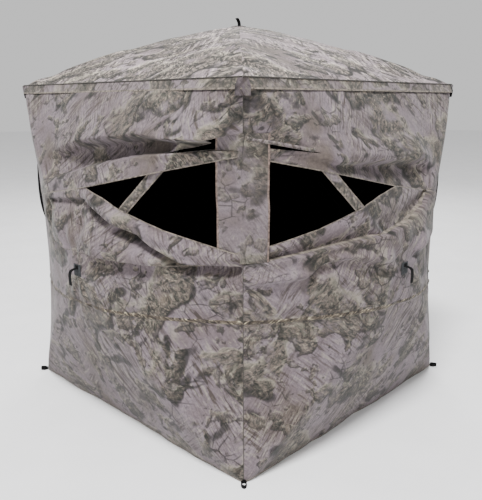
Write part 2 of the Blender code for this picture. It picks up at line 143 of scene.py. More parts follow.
def height_at(x, points):
    """The height at x of a straight-sided line through points."""
    xs, ys = zip(*points)
    return np.interp(x, xs, ys)


def follow(x, points):
    """The height at x of a line through points, rounded at each of them."""
    return sum(height_at(x + k * LINE_REACH, points) for k in (-1, 0, 1)) / 3


def profile(t, points):
    """A smooth curve with level ends through (position, value) points."""
    value = np.full_like(t, points[0][1])
    for (a, low), (b, high) in zip(points, points[1:]):
        value = np.where(t > a, low + (high - low) * ease((t - a) / (b - a)), value)
    return value


def noise(x, y, seed):
    """Smooth value noise from -1 to 1, one bump to a unit."""

    def corner(i, j):
        h = np.sin(i * 127.1 + j * 311.7 + seed * 74.7) * 43758.5453
        return 2 * (h - np.floor(h)) - 1

    xi, yi = np.floor(x), np.floor(y)
    fx, fy = ease(x - xi), ease(y - yi)
    low = corner(xi, yi) * (1 - fx) + corner(xi + 1, yi) * fx
    high = corner(xi, yi + 1) * (1 - fx) + corner(xi + 1, yi + 1) * fx
    return low * (1 - fy) + high * fy


def ridged(x, y, seed):
    """Noise with narrow creases where it crosses zero, from 0 to 1."""
    return 1 - np.abs(noise(x, y, seed))


# ---- folds: how far the cloth stands out from the plain surface ----

VALLEY_TOP = ((-0.60, 1.190), (-0.05, 1.270), (0.45, 1.300), (0.66, 1.284), (0.90, 1.286))
BAND_TOP = ((-0.80, 1.020), (-0.35, 1.085), (-0.07, 1.145), (0.28, 1.200), (0.60, 1.232), (0.90, 1.254))
FLAP_EDGE = (
    *((-0.40, 1.010), (0.02, 1.040), (0.30, 0.969), (0.484, 0.936)),
    *((0.541, 0.905), (0.72, 0.838), (1.0, 0.842)),
)
POUCH_SEAM = (
    *((-0.60, 0.960), (-0.45, 0.880), (-0.34, 0.835), (-0.14, 0.818)),
    *((0.12, 0.824), (0.74, 0.822), (0.87, 0.836), (1.0, 0.840)),
)
ROLL_LOW = ((-0.60, 1.120), (-0.26, 1.185), (0.12, 1.190), (0.52, 1.195), (0.70, 1.228), (0.90, 1.246))
POCKET_EDGE = (
    *((-0.50, 1.060), (-0.33, 1.034), (-0.23, 0.987), (-0.04, 0.933), (0.18, 0.911)),
    *((0.31, 0.908), (0.57, 0.888), (0.88, 0.852), (1.0, 0.845)),
)
POCKET_FOLD = (
    *((-0.30, 0.800), (-0.10, 0.780), (0.26, 0.791), (0.45, 0.829)),
    *((0.60, 0.821), (0.70, 0.773), (1.0, 0.760)),
)


def upper_hem(u):
    slope = np.where(u > 0, UPPER_HEM_SLOPE, FAR_HEM_SLOPE)
    return UPPER_HEM_MID + slope * u


def lower_hem(u):
    return height_at(u, LOWER_HEM)


def seam_height(u):
    return SEAM_MID + SEAM_SLOPE * u


def creases(wall):
    """The lines where a lower wall's cloth steps in or out. The last one has a binding."""
    return (FLAP_EDGE, POUCH_SEAM) if wall in FLAP_WALLS else (POCKET_EDGE,)


def valley_folds(u, z):
    """The upper wall beside the near corner: a bulge that overhangs a valley, then the hem band."""
    hem = upper_hem(u)
    top, band = follow(u, VALLEY_TOP), follow(u, BAND_TOP)
    band = np.maximum(band, hem + 0.012)
    across = ease((u + 0.55) / 0.5)
    t = (z - band) / np.maximum(top - band, 0.02)
    waves = 0.0060 * noise(u * 7 + 3, z * 9, 21)
    valley = [(-0.4, 0.004), (-0.02, 0.009), (0.14, -0.032), (0.60, -0.036)]
    depth = profile(t, valley + [(1.0, 0.026), (1.7, 0.018), (4.2, 0.0)])
    band_share = np.clip((z - hem) / np.maximum(band - hem, 0.01), 0, 1)
    pleats = 0.0016 * noise(u * 34, z * 4, 22) * bump(band_share, 0.5, 0.6)
    return across * (depth + waves * bump(t, 1.2, 2.5)) + pleats


def rolled_folds(u, z):
    """The upper wall to the right: a fat soft roll that overhangs its own dark underside."""
    hem = upper_hem(u)
    low = np.maximum(follow(u, ROLL_LOW), hem + 0.01)
    across = ease((u + 0.52) / 0.34) * (1 - 0.85 * ease((u - 0.55) / 0.14))
    t = (z - low) / 0.07
    under = (z - hem) / np.maximum(low - hem, 0.01)
    room = np.clip((low - hem) / 0.09, 0.3, 1)
    lip = profile(under, [(-0.1, 0.0), (0.05, -0.006), (0.68, -0.020), (1.0, 0.026)])
    crown = profile(t, [(0.0, 0.026), (0.35, 0.033), (1.0, 0.020), (1.45, 0.006), (2.1, 0.009), (3.4, 0.0)])
    depth = room * np.where(z < low, lip, crown)
    ripples = 0.005 * noise(u * 5 + z * 6, z * 7 - u * 3, 31) * bump(t, 0.8, 2.2)
    return across * (depth + ripples)


def flap_folds(u, z):
    """The lower wall to the left: a flap rolled outwards, a deep crease under it, and a slack pouch."""
    hem, edge, seam = lower_hem(u), follow(u, FLAP_EDGE), follow(u, POUCH_SEAM)
    edge = np.minimum(edge, hem - 0.012)
    seam = np.minimum(seam, edge - 0.012)
    window = ease(u / 0.12)
    across = ease((u + 0.62) / 0.3)
    roll = profile((hem - z) / (hem - edge), [(-0.2, 0.002), (0.1, 0.006), (0.55, 0.019), (1.0, 0.015)])
    slack = ease((edge - seam - 0.01) / 0.07)
    q = (edge - z) / (edge - seam)
    tuck = profile(edge - z, [(0.0, 0.015), (1.6 * STEP_RUN, -0.026), (0.065, 0.0)])
    drop = profile(seam - z, [(0.0, 0.0), (STEP_RUN, -0.025), (0.022, -0.025), (0.08, -0.017)])
    pouch = tuck + slack * (profile(q, [(0.30, 0.0), (0.80, 0.019), (0.98, 0.017)]) + drop)
    pull = 0.009 * noise(u * 8 + z * 5, z * 11 - u * 6, 41) * bump(q, 0.5, 0.7)
    side = 0.011 * noise(u * 16 + z * 3, z * 3.0, 42) * bump(q, 0.45, 0.7) * (1 - window)
    folds = np.where(z > edge, roll, pouch) * (0.35 + 0.65 * window)
    return across * (folds + pull + side)


def pocket_folds(u, z):
    """The lower wall to the right: a flat strip under the hem, then the edge of a slack pouch."""
    hem, edge, fold = lower_hem(u), follow(u, POCKET_EDGE), follow(u, POCKET_FOLD)
    edge = np.minimum(edge, hem - 0.008)
    across = ease((u + 0.66) / 0.26)
    strip = profile((hem - z) / (hem - edge), [(-0.2, 0.0), (0.35, 0.004), (0.97, -0.009)])
    q = (edge - z) / np.maximum(edge - fold, 0.02)
    lip = profile(edge - z, [(0.0, -0.009), (STEP_RUN, 0.015)])
    slack = [(0.15, 0.0), (0.45, -0.002), (0.82, 0.006)]
    tuck = [(1.06, -0.011), (1.25, -0.012), (1.9, -0.006), (2.8, -0.013)]
    pouch = lip + profile(q, slack + tuck)
    pull = 0.008 * noise(u * 6 - z * 7, z * 8 + u * 4, 43) * bump(q, 0.7, 1.0)
    return across * (np.where(z > edge, strip, pouch) + pull)


def common_folds(u, c, z, seed):
    """Slack and puckers that every wall has."""
    r = np.maximum(np.abs(u), np.abs(c))
    angle = np.arctan2(c, u)
    slack = 0.0045 * noise(u * 2.2 + seed, z * 2.6, seed)
    slack = slack + 0.0028 * noise(u * 5.3, z * 6.1 + seed, seed + 1)
    drawn = 0.0035 * ridged(u * 9 + z * 5, z * 4 - u * 3, seed + 2)
    hub_rays = 0.0040 * np.sin(angle * 9 + seed + 2 * noise(u * 6, c * 6, seed + 3)) * bump(r, 0.15, 0.14)
    above = z - seam_height(u)
    puckers = 0.0030 * noise(u * 26, z * 2.2, seed + 4) * bump(above, 0, 0.085)
    twist = 0.0050 * bump(above, 0, 0.011) * (1 + 0.9 * noise(u * 38 + z * 60, z * 90, seed + 5))
    twist = twist - 0.0040 * bump(above, 0, 0.045)
    eave = 0.0030 * noise(u * 24, z * 1.4, seed + 6) * bump(c, 0.9, 0.2)
    ground = 0.0042 * noise(u * 9, z * 1.1, seed + 7) * bump(c, -1.0, 0.32)
    tight = 1 - 0.55 * bump(np.abs(u) - np.abs(c), 0, 0.07)
    return (slack + drawn + hub_rays + eave + ground) * tight + puckers + twist


FOLDS = {
    "front": (valley_folds, flap_folds, 3),
    "right": (rolled_folds, pocket_folds, 5),
    "back": (rolled_folds, pocket_folds, 8),
    "left": (valley_folds, flap_folds, 11),
}
FOLD_GAIN = 1.5
CLOSED_SHARE = 0.45
DEEPEST_FOLD = -0.055
HIGHEST_FOLD = 0.046


def wall_folds(wall, u, c):
    upper, lower, seed = FOLDS[wall]
    z = HALF_HEIGHT * (1 + c)
    ribbed = np.where(z > upper_hem(u), upper(u, z), lower(u, z))
    share = FOLD_GAIN if wall in OPEN_WALLS else CLOSED_SHARE
    middle = ease((np.maximum(np.abs(u), np.abs(c)) - 0.07) / 0.12)
    edge = ease((1 - np.abs(u)) / EDGE_FADE) * ease((1 - c) / TOP_FADE)
    total = (share * ribbed * middle + common_folds(u, c, z, seed)) * edge
    if wall == "back":
        total = total * (1 - 0.8 * bump(u * HALF_SIDE, -0.33, 0.28))
    held_out = ease((np.abs(np.abs(u) - np.abs(c)) - 0.014) / 0.045)
    total = np.where(total < 0, total * held_out, total)
    return np.clip(total, DEEPEST_FOLD, HIGHEST_FOLD)


# ---- surfaces ----


def bow(r, height):
    return height * (1 - r) + 4 * FABRIC_DOME * r * (1 - r)


def wall_surface(wall, u, c, lift=0.0, folded=True):
    """Points on a wall, lifted outwards."""
    normal, tangent = WALLS[wall]
    inside_u, inside_c = np.clip(u, -1, 1), np.clip(c, -1, 1)
    r = np.minimum(soft_max(np.abs(inside_u), np.abs(inside_c)), 1)
    pull = CORNER_PULL * np.maximum(0, u * u - inside_c * inside_c)
    depth = bow(r, WALL_BULGE) - pull + lift
    if folded:
        depth = depth + wall_folds(wall, inside_u, inside_c)
    lateral = u * (HALF_SIDE + lift) - np.sign(u) * pull
    z = HALF_HEIGHT * (1 + c)
    return np.outer(lateral, tangent) + np.outer(HALF_SIDE + depth, normal) + np.outer(z, UP)


def roof_surface(a, b, lift=0.0, folded=True):
    """Points on the roof. Its poles run to the corners under soft ridges."""
    half = HALF_SIDE + ROOF_OVERHANG
    r = np.minimum(soft_max(np.abs(a), np.abs(b), 0.03), 1)
    height = bow(r, ROOF_RISE)
    if folded:
        near = np.minimum(np.abs(a), np.abs(b)) / np.maximum(r, 0.01)
        ridge = bump(near, 1.0, 0.22)
        along = (np.abs(a) + np.abs(b)) * 6.5
        chevron = 0.0050 * noise(along + 3 * near, near * 2, 61) * ridge
        slack = 0.0050 * noise(a * 2.4, b * 2.4 + 9, 62) + 0.0025 * noise(a * 6, b * 6, 63)
        gather = 0.0022 * noise((a - b) * 17, (a + b) * 2, 64) * bump(r, 1.0, 0.2)
        rays = 0.0028 * np.sin(np.arctan2(b, a) * 11 + 1) * bump(r, 0.14, 0.13)
        height = height + (chevron + slack + gather + rays) * ease((1 - r) / 0.05)
    return np.stack([a * half, b * half, EAVE_HEIGHT + height + lift], axis=1)


# ---- flat meshes, cut along lines ----


def line_through(p, q):
    """A cutting line through two (u, z) points, as a point and a direction in (u, c)."""
    start = (p[0], p[1] / HALF_HEIGHT - 1)
    return start, (q[0] - p[0], (q[1] - p[1]) / HALF_HEIGHT)


def level_lines(points, shift):
    moved = [(u, z + shift) for u, z in points]
    return [line_through(p, q) for p, q in zip(moved, moved[1:])]


def cut_square(cells, lines):
    """The square from -1 to 1 as triangles, with an edge along every line.

    Triangles keep the two layers of a sheet parallel where it folds sharply.
    """
    bm = bmesh.new()
    bmesh.ops.create_grid(bm, x_segments=cells, y_segments=cells, size=1.0)
    for (x, y), (dx, dy) in lines:
        parts = bm.verts[:] + bm.edges[:] + bm.faces[:]
        across = Vector((-dy, dx, 0)).normalized()
        bmesh.ops.bisect_plane(bm, geom=parts, dist=1e-5, plane_co=(x, y, 0), plane_no=across)
    bmesh.ops.triangulate(bm, faces=bm.faces[:])
    bm.verts.index_update()
    points = np.array([v.co[:2] for v in bm.verts])
    faces = [[v.index for v in f.verts] for f in bm.faces]
    centres = np.array([f.calc_center_median()[:2] for f in bm.faces])
    bm.free()
    return points, faces, centres


DIAGONALS = [((0, 0), (1, 1)), ((0, 0), (1, -1))]
DOOR_EDGES = (DOOR_HINGE, DOOR_HINGE + DOOR_BIND, DOOR_FREE - DOOR_BIND, DOOR_FREE, DOOR_FREE + DOOR_GAP)
UPPER_NEAR = ((0.0, UPPER_HEM_MID), (1.0, UPPER_HEM_MID + UPPER_HEM_SLOPE))
UPPER_FAR = ((0.0, UPPER_HEM_MID), (-1.0, UPPER_HEM_MID - FAR_HEM_SLOPE))
SLIT_LINES = [(SLIT_START, (SLIT_START[0] + 1, SLIT_START[1] + s)) for s in SLIT_SLOPES]
SEAM_LINE = ((0.0, SEAM_MID), (1.0, SEAM_MID + SEAM_SLOPE))


def wall_cuts(wall):
    lines = list(DIAGONALS)
    for line in (UPPER_NEAR, UPPER_FAR):
        lines += level_lines(line, 0) + level_lines(line, HEM_WIDTH)
    lines += level_lines(LOWER_HEM, 0) + level_lines(LOWER_HEM, -HEM_WIDTH)
    lines += level_lines(SEAM_LINE, SEAM_HALF) + level_lines(SEAM_LINE, -SEAM_HALF)
    lines += level_lines(((0.0, GROUND_HEM), (1.0, GROUND_HEM)), 0)
    for crease in creases(wall):
        lines += level_lines(crease, 0) + level_lines(crease, -STEP_RUN)
    lines += level_lines(creases(wall)[-1], -SEWN_EDGE)
    if wall in OPEN_WALLS:
        for line in SLIT_LINES:
            lines += level_lines(line, 0)
        lines += [((SLIT_START[0], 0), (0, 1))]
    if wall == "back":
        for edge in DOOR_EDGES:
            lines.append(((-edge / HALF_SIDE, 0), (0, 1)))
        for reach in (DOOR_REACH, DOOR_INNER_REACH):
            lines += [((0, 0), (1, reach)), ((0, 0), (1, -reach))]
    return lines


def quarter_of(u, c):
    tall = np.abs(c) > np.abs(u)
    return np.where(tall, np.where(c > 0, 0, 1), np.where(u > 0, 2, 3))


def wall_regions(wall, u, c):
    """For each face: which part of the wall it is in, and its material."""
    z = HALF_HEIGHT * (1 + c)
    over, under = z - upper_hem(u), lower_hem(u) - z
    window = (u > WINDOW_TIP_U) & (over < 0) & (under < 0)
    part = np.where(over > 0, "upper", "lower").astype("<U8")
    mat = np.full(len(u), CAMO)
    mat[(over > 0) & (over < HEM_WIDTH)] = HEM
    mat[(under > 0) & (under < HEM_WIDTH) & (u > WINDOW_TIP_U)] = HEM
    mat[np.abs(z - seam_height(u)) < SEAM_HALF] = SEAM
    mat[z < GROUND_HEM] = HEM
    drop = height_at(u, creases(wall)[-1]) - z
    mat[(drop > 0) & (drop < SEWN_EDGE) & (u > -0.45) & (u < PANEL_U)] = HEM
    if wall in OPEN_WALLS:
        part[window] = "none"
        reach = u - SLIT_START[0]
        low, high = (SLIT_START[1] + s * reach for s in SLIT_SLOPES)
        part[(reach > 0) & (z > low) & (z < high)] = "none"
    else:
        part[window] = "upper"
    if wall == "back":
        lateral = -u * HALF_SIDE
        flat = np.abs(c) < DOOR_REACH * np.abs(u)
        door = flat & (lateral > DOOR_HINGE) & (lateral < DOOR_FREE)
        gap = flat & (lateral > DOOR_FREE) & (lateral < DOOR_FREE + DOOR_GAP)
        part[door] = "door"
        part[gap] = "none"
        inner = np.abs(c) < DOOR_INNER_REACH * np.abs(u)
        inner &= (lateral > DOOR_HINGE + DOOR_BIND) & (lateral < DOOR_FREE - DOOR_BIND)
        mat[door & ~inner] = HEM
        mat[door & inner] = CAMO
    return part, mat


# ---- cloth meshes ----


def add_object(name, data):
    obj = bpy.data.objects.new(name, data)
    bpy.context.scene.collection.objects.link(obj)
    return obj


def unit_normals(place, u, c):
    """Outward directions of the lifted surface, from its slopes."""
    e = NORMAL_STEP
    du = place(u + e, c) - place(u - e, c)
    dc = place(u, c + e) - place(u, c - e)
    n = np.cross(du, dc)
    return n / np.maximum(np.linalg.norm(n, axis=1, keepdims=True), 1e-12)


def smallest_rectangle(flat):
    """Width and length of the smallest rectangle round a flat outline."""
    best = None
    for degrees in range(0, 90, 3):
        angle = math.radians(degrees)
        turn = np.array([[math.cos(angle), -math.sin(angle)], [math.sin(angle), math.cos(angle)]])
        size = np.ptp(flat @ turn.T, axis=0)
        if best is None or size[0] * size[1] < best[0] * best[1]:
            best = size
    return float(best[0]), float(best[1])


def layered_mesh(name, outer, inner, faces, normals, uvs, mats, face_mats, flip):
    """A closed thin sheet: outer faces, inner faces turned round, and a rim along every free edge."""
    count = len(outer)
    turned = [f[::-1] for f in faces] if flip else faces
    sides = {}
    for f in turned:
        for a, b in zip(f, f[1:] + f[:1]):
            sides[(a, b)] = True
    rims = [(b, a, a + count, b + count) for a, b in sides if (b, a) not in sides]
    back = [[i + count for i in f[::-1]] for f in turned]
    mesh = bpy.data.meshes.new(name)
    mesh.from_pydata(np.concatenate([outer, inner]).tolist(), [], turned + back + rims)
    for mat in mats:
        mesh.materials.append(mat)
    index = np.concatenate([face_mats, np.full(len(back), LINING), np.full(len(rims), CAMO)])
    mesh.polygons.foreach_set("material_index", index.astype(np.int32))
    mesh.polygons.foreach_set("use_smooth", np.ones(len(index), bool))
    loops = np.zeros(len(mesh.loops), np.int32)
    mesh.loops.foreach_get("vertex_index", loops)
    layer = mesh.uv_layers.new(name="cloth")
    layer.data.foreach_set("uv", np.concatenate([uvs, uvs])[loops].astype(np.float32).ravel())
    mesh.normals_split_custom_set_from_vertices(np.concatenate([normals, -normals]).tolist())
    return add_object(name, mesh)


def cloth(name, points, faces, place, plain, outward, uv_of, mats, face_mats):
    """One piece of cloth from chosen faces of a flat mesh; its cut size is worked out but not kept."""
    used = sorted({i for f in faces for i in f})
    order = {old: new for new, old in enumerate(used)}
    faces = [[order[i] for i in f] for f in faces]
    u, c = points[used, 0], points[used, 1]
    outer = place(u, c)
    normals = unit_normals(place, u, c)
    middle = outer.mean(axis=0) - np.array([0, 0, HALF_HEIGHT])
    flip = float((normals.mean(axis=0) * middle).sum()) < 0
    if flip:
        normals = -normals
    inner = outer - np.array(outward) * CLOTH_THICK
    uvs = uv_of(u, c)
    obj = layered_mesh(name, outer, inner, faces, normals, uvs, mats, face_mats, flip)
    smooth = plain(u, c)
    a, b, d = (smooth[[f[k] for f in faces]] for k in range(3))
    area = np.linalg.norm(np.cross(b - a, d - a), axis=1).sum() / 2
    width, length = smallest_rectangle(uvs)
    grow = max(1.0, math.sqrt(area / (width * length)) * 1.01)
    width, length = width * grow, length * grow
    return obj


def hub_centre(wall):
    """Where a panel's bowed surface meets its hub."""
    if wall == "roof":
        return Vector((0, 0, EAVE_HEIGHT + ROOF_RISE))
    return WALLS[wall][0] * (HALF_SIDE + WALL_BULGE) + UP * HALF_HEIGHT


def hub_blend(obj):
    """Bakes the cloth's placement into its mesh."""
    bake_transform(obj)


# ---- materials ----


class Shader:
    """Short calls that build one material's nodes."""

    def __init__(self, name, roughness, metallic=0.0, sheen=0.0, specular=0.5):
        self.material = bpy.data.materials.new(name)
        self.material.use_nodes = True
        self.tree = self.material.node_tree
        self.shader = self.tree.nodes["Principled BSDF"]
        self.shader.inputs["Roughness"].default_value = roughness
        self.shader.inputs["Metallic"].default_value = metallic
        self.shader.inputs["Sheen Weight"].default_value = sheen
        self.shader.inputs["Specular IOR Level"].default_value = specular

    def add(self, kind, links=None, **settings):
        made = self.tree.nodes.new(kind)
        for key, value in settings.items():
            setattr(made, key, value)
        for key, value in (links or {}).items():
            socket = made.inputs[key]
            if isinstance(value, bpy.types.NodeSocket):
                self.tree.links.new(value, socket)
            else:
                socket.default_value = value
        return made

    def cloth_place(self):
        return self.add("ShaderNodeUVMap", uv_map="cloth").outputs["UV"]

    def object_place(self):
        return self.add("ShaderNodeTexCoord").outputs["Object"]

    def moved(self, vector, scale=(1, 1, 1), turn=0.0, shift=(0, 0, 0)):
        links = {"Vector": vector, "Scale": scale, "Rotation": (0, 0, turn), "Location": shift}
        return self.add("ShaderNodeMapping", links).outputs["Vector"]

    def noise(self, vector, scale, detail=4.0, rough=0.55, distortion=0.0):
        links = {"Vector": vector, "Scale": scale, "Detail": detail}
        links |= {"Roughness": rough, "Distortion": distortion}
        return self.add("ShaderNodeTexNoise", links).outputs["Fac"]

    def streaks(self, vector, turn, scale, detail, rough, distortion):
        """Noise drawn out along the direction that turn gives."""
        drawn = self.moved(self.moved(vector, turn=turn), scale)
        return self.noise(drawn, 1.0, detail, rough, distortion)

    def cell_edges(self, vector, scale):
        links = {"Vector": vector, "Scale": scale}
        return self.add("ShaderNodeTexVoronoi", links, feature="DISTANCE_TO_EDGE").outputs["Distance"]

    def wave(self, scale, direction, distortion=0.0):
        links = {"Vector": self.object_place(), "Scale": scale, "Distortion": distortion}
        return self.add("ShaderNodeTexWave", links, bands_direction=direction).outputs["Fac"]

    def math(self, operation, a, b):
        return self.add("ShaderNodeMath", {0: a, 1: b}, operation=operation).outputs[0]

    def times(self, a, b):
        return self.math("MULTIPLY", a, b)

    def step(self, value, low, high):
        """0 below low and 1 above high, or the other way round where low is the higher."""
        links = {"Value": value, "From Min": low, "From Max": high}
        made = self.add("ShaderNodeMapRange", links, interpolation_type="SMOOTHSTEP")
        return made.outputs["Result"]

    def ramp(self, value, stops):
        made = self.add("ShaderNodeValToRGB", {"Fac": value})
        points = made.color_ramp.elements
        while len(points) < len(stops):
            points.new(0.5)
        for point, (position, colour) in zip(points, stops):
            point.position = position
            point.color = (*colour, 1)
        return made.outputs["Color"]

    def mix(self, share, a, b, blend="MIX"):
        made = self.add("ShaderNodeMix", data_type="RGBA", blend_type=blend)
        for index, value in ((0, share), (6, a), (7, b)):
            if isinstance(value, bpy.types.NodeSocket):
                self.tree.links.new(value, made.inputs[index])
            else:
                made.inputs[index].default_value = value if index == 0 else (*value, 1)
        return made.outputs[2]

    def bump(self, height, strength, distance):
        made = self.add("ShaderNodeBump", {"Height": height, "Strength": strength, "Distance": distance})
        self.tree.links.new(made.outputs["Normal"], self.shader.inputs["Normal"])

    def colour(self, socket):
        self.tree.links.new(socket, self.shader.inputs["Base Color"])
        return self.material


def srgb(*values):
    """A colour in the shader's own units from 0 to 255 values."""
    return tuple((v / 255 / 12.92) if v < 10.3 else ((v / 255 + 0.055) / 1.055) ** 2.4 for v in values)


MAUVE_LIGHT = srgb(164, 151, 158)
MAUVE = srgb(148, 134, 139)
TAUPE = srgb(130, 118, 112)
TAN = srgb(154, 141, 127)
BROWN = srgb(84, 74, 64)
GREEN = srgb(101, 101, 91)
GREEN_DARK = srgb(67, 67, 60)
INK = srgb(42, 42, 39)
CREAM = srgb(208, 201, 182)
GROUND_STOPS = ((0.34, TAUPE), (0.44, MAUVE), (0.53, MAUVE_LIGHT), (0.62, MAUVE), (0.72, TAN))
LEAF_STOPS = ((0.34, INK), (0.41, GREEN_DARK), (0.47, GREEN), (0.52, TAUPE), (0.59, TAN), (0.68, CREAM))


def weave(shader, place, extra=None, strength=0.25):
    """Fine woven threads and a light crumple, with any extra height added."""
    warp = shader.noise(shader.moved(place, (1500, 260, 1)), 1.0, 1.0)
    weft = shader.noise(shader.moved(place, (260, 1500, 1)), 1.0, 1.0)
    height = shader.math("ADD", warp, weft)
    crumple = shader.noise(place, 22.0, 5.0, 0.6, 0.6)
    height = shader.math("ADD", shader.times(height, 0.15), shader.times(crumple, 3.0))
    if extra is not None:
        height = shader.math("ADD", height, extra)
    shader.bump(height, strength, 0.004)


def camo(name, pale=0.0, bright=0.47, bark=1.0, litter=1.0, contrast=1.15, saturation=1.0):
    """Printed polyester: a smooth mauve ground, bark streaks, and islands of leaf litter with a dark side.

    pale washes it out, bright scales its lightness, and bark and litter set how much of each shows.
    """
    s = Shader(name, 0.78, sheen=0.10, specular=0.22)
    place = s.cloth_place()
    swirl = s.add("ShaderNodeTexNoise", {"Vector": place, "Scale": 3.0, "Detail": 2.5}).outputs["Color"]
    offset = s.add("ShaderNodeVectorMath", {0: swirl, 1: (0.5, 0.5, 0.5)}, operation="SUBTRACT").outputs[0]
    links = {0: offset, 1: (0.15, 0.15, 0.15), 2: place}
    bent = s.add("ShaderNodeVectorMath", links, operation="MULTIPLY_ADD").outputs[0]

    ground = s.noise(bent, 3.2, 3.5, 0.55)
    colour = s.ramp(ground, GROUND_STOPS)

    for scale, turn, where, seen in (
        ((8, 52, 1), 0.95, (0.45, 0.58), 0.80),
        ((20, 140, 1), 1.05, (0.43, 0.57), 0.62),
        ((9, 70, 1), -0.70, (0.47, 0.60), 0.70),
    ):
        area = s.noise(s.moved(place, shift=(turn * 7, 3, 0)), 2.4, 3.0, 0.6)
        area = s.times(s.step(area, *where), bark * seen)
        lines = s.streaks(place, turn, scale, 4.0, 0.62, 0.25)
        dark = s.times(s.step(lines, 0.51, 0.61), area)
        light = s.times(s.step(lines, 0.46, 0.37), area)
        colour = s.mix(dark, colour, BROWN)
        colour = s.mix(s.times(light, 0.55), colour, CREAM)

    for scale, move, edge, turn, seen in (
        (3.3, (0.0, 0.0, 0), 0.535, 0.6, 0.92),
        (6.2, (3.1, 1.7, 0), 0.575, -0.5, 0.85),
        (12.0, (7.3, 5.2, 0), 0.600, 1.4, 0.75),
    ):
        seen = seen * litter
        reach = 0.055 / scale
        field = s.noise(s.moved(bent, shift=move), scale, 3.6, 0.50, 0.2)
        lit_from = (move[0] + reach, move[1] - 1.6 * reach, 0)
        beyond = s.noise(s.moved(bent, shift=lit_from), scale, 3.6, 0.50, 0.2)
        slope = s.math("SUBTRACT", field, beyond)
        inside = s.step(field, edge, edge + 0.012)
        leaves = s.streaks(bent, turn, (38, 78, 1), 6.0, 0.74, 0.8)
        fill = s.ramp(leaves, LEAF_STOPS)
        spread = s.step(s.noise(place, 11.0, 4.0, 0.6), 0.34, 0.52)
        colour = s.mix(s.times(s.times(inside, spread), seen), colour, fill)
        rim = s.times(s.step(field, edge - 0.026, edge), s.step(field, edge + 0.075, edge + 0.006))
        dark_side = s.times(rim, s.step(slope, -0.004, 0.026))
        colour = s.mix(s.times(dark_side, 0.80 * seen), colour, INK)
        light_side = s.times(rim, s.step(slope, -0.010, -0.034))
        colour = s.mix(s.times(light_side, 0.40 * seen), colour, CREAM)

    twigs = s.step(s.cell_edges(bent, 13.0), 0.045, 0.010)
    twigs = s.times(twigs, s.step(s.noise(place, 5.0, 3.0), 0.50, 0.60))
    colour = s.mix(s.times(twigs, 0.60), colour, INK)
    flecks = s.streaks(bent, -0.6, (110, 46, 1), 4.0, 0.66, 0.6)
    fleck_where = s.step(s.noise(place, 3.6, 5.0, 0.66), 0.50, 0.62)
    for low, high, seen, tint in ((0.57, 0.66, 0.60, CREAM), (0.44, 0.36, 0.65, INK)):
        fleck = s.times(s.step(flecks, low, high), fleck_where)
        colour = s.mix(s.times(fleck, seen), colour, tint)

    grain = s.noise(place, 90.0, 5.0, 0.72)
    shade = s.ramp(grain, [(0.32, (0.74, 0.74, 0.74)), (0.50, (1, 1, 1)), (0.68, (1.20, 1.19, 1.17))])
    colour = s.mix(1.0, colour, shade, "MULTIPLY")
    colour = s.mix(pale, colour, srgb(200, 194, 178))
    colour = s.add("ShaderNodeGamma", {"Color": colour, "Gamma": contrast}).outputs["Color"]
    colour = s.add("ShaderNodeHueSaturation", {"Color": colour, "Saturation": saturation}).outputs["Color"]
    colour = s.mix(1.0, colour, (bright, bright, bright), "MULTIPLY")
    weave(s, place)
    return s.colour(colour)


def lining():
    s = Shader("black_lining", 0.9, specular=0.15)
    place = s.cloth_place()
    tone = s.ramp(s.noise(place, 40.0, 3.0), [(0.3, srgb(8, 8, 9)), (0.7, srgb(16, 16, 17))])
    weave(s, place, strength=0.1)
    return s.colour(tone)


def hem_cloth(name, low, high):
    """Folded binding with a row of stitches."""
    s = Shader(name, 0.72, sheen=0.1, specular=0.3)
    place = s.cloth_place()
    tone = s.ramp(s.noise(place, 55.0, 5.0, 0.65, 0.5), [(0.34, low), (0.62, high)])
    stitch = s.noise(s.moved(place, (210, 90, 1)), 1.0, 1.0)
    tone = s.mix(s.times(s.step(stitch, 0.60, 0.68), 0.35), tone, srgb(60, 56, 48))
    weave(s, place, s.times(stitch, 0.5))
    return s.colour(tone)


def seam_cloth():
    """The twisted seam: cream and brown threads that wind round it in and out of shadow."""
    s = Shader("twisted_seam", 0.75, sheen=0.1, specular=0.25)
    place = s.cloth_place()
    wound = s.streaks(place, 0.5, (36, 150, 1), 4.0, 0.6, 0.6)
    shadow = [(0.36, srgb(24, 21, 18)), (0.47, srgb(66, 58, 50))]
    tone = s.ramp(wound, shadow + [(0.57, srgb(98, 90, 82)), (0.66, srgb(168, 160, 136))])
    patchy = s.ramp(s.noise(place, 13.0, 3.0), [(0.38, (0.55, 0.53, 0.52)), (0.60, (1.1, 1.08, 1.0))])
    tone = s.mix(1.0, tone, patchy, "MULTIPLY")
    weave(s, place, wound)
    return s.colour(tone)


def webbing():
    """Black woven tape with diagonal ribs."""
    s = Shader("black_webbing", 0.85, specular=0.12)
    ribs = s.wave(210.0, "DIAGONAL", 0.4)
    tone = s.ramp(ribs, [(0.2, srgb(5, 5, 6)), (0.8, srgb(17, 17, 18))])
    s.bump(ribs, 0.5, 0.0006)
    return s.colour(tone)


def patch_cloth():
    """The dark square of heavy cloth behind each pull strap."""
    s = Shader("patch_cloth", 0.8, specular=0.2)
    threads = s.wave(330.0, "Z", 0.2)
    tone = s.ramp(s.noise(s.object_place(), 160.0, 3.0), [(0.35, srgb(40, 42, 44)), (0.65, srgb(60, 62, 64))])
    s.bump(threads, 0.4, 0.0005)
    return s.colour(tone)


def pole_finish():
    """Pultruded glass fibre: near black with fine lengthwise strands."""
    s = Shader("glass_fibre", 0.34, specular=0.5)
    place = s.object_place()
    strands = s.noise(place, 420.0, 2.0, 0.5)
    tone = s.ramp(strands, [(0.35, srgb(20, 21, 23)), (0.7, srgb(44, 46, 50))])
    s.bump(strands, 0.15, 0.0004)
    return s.colour(tone)


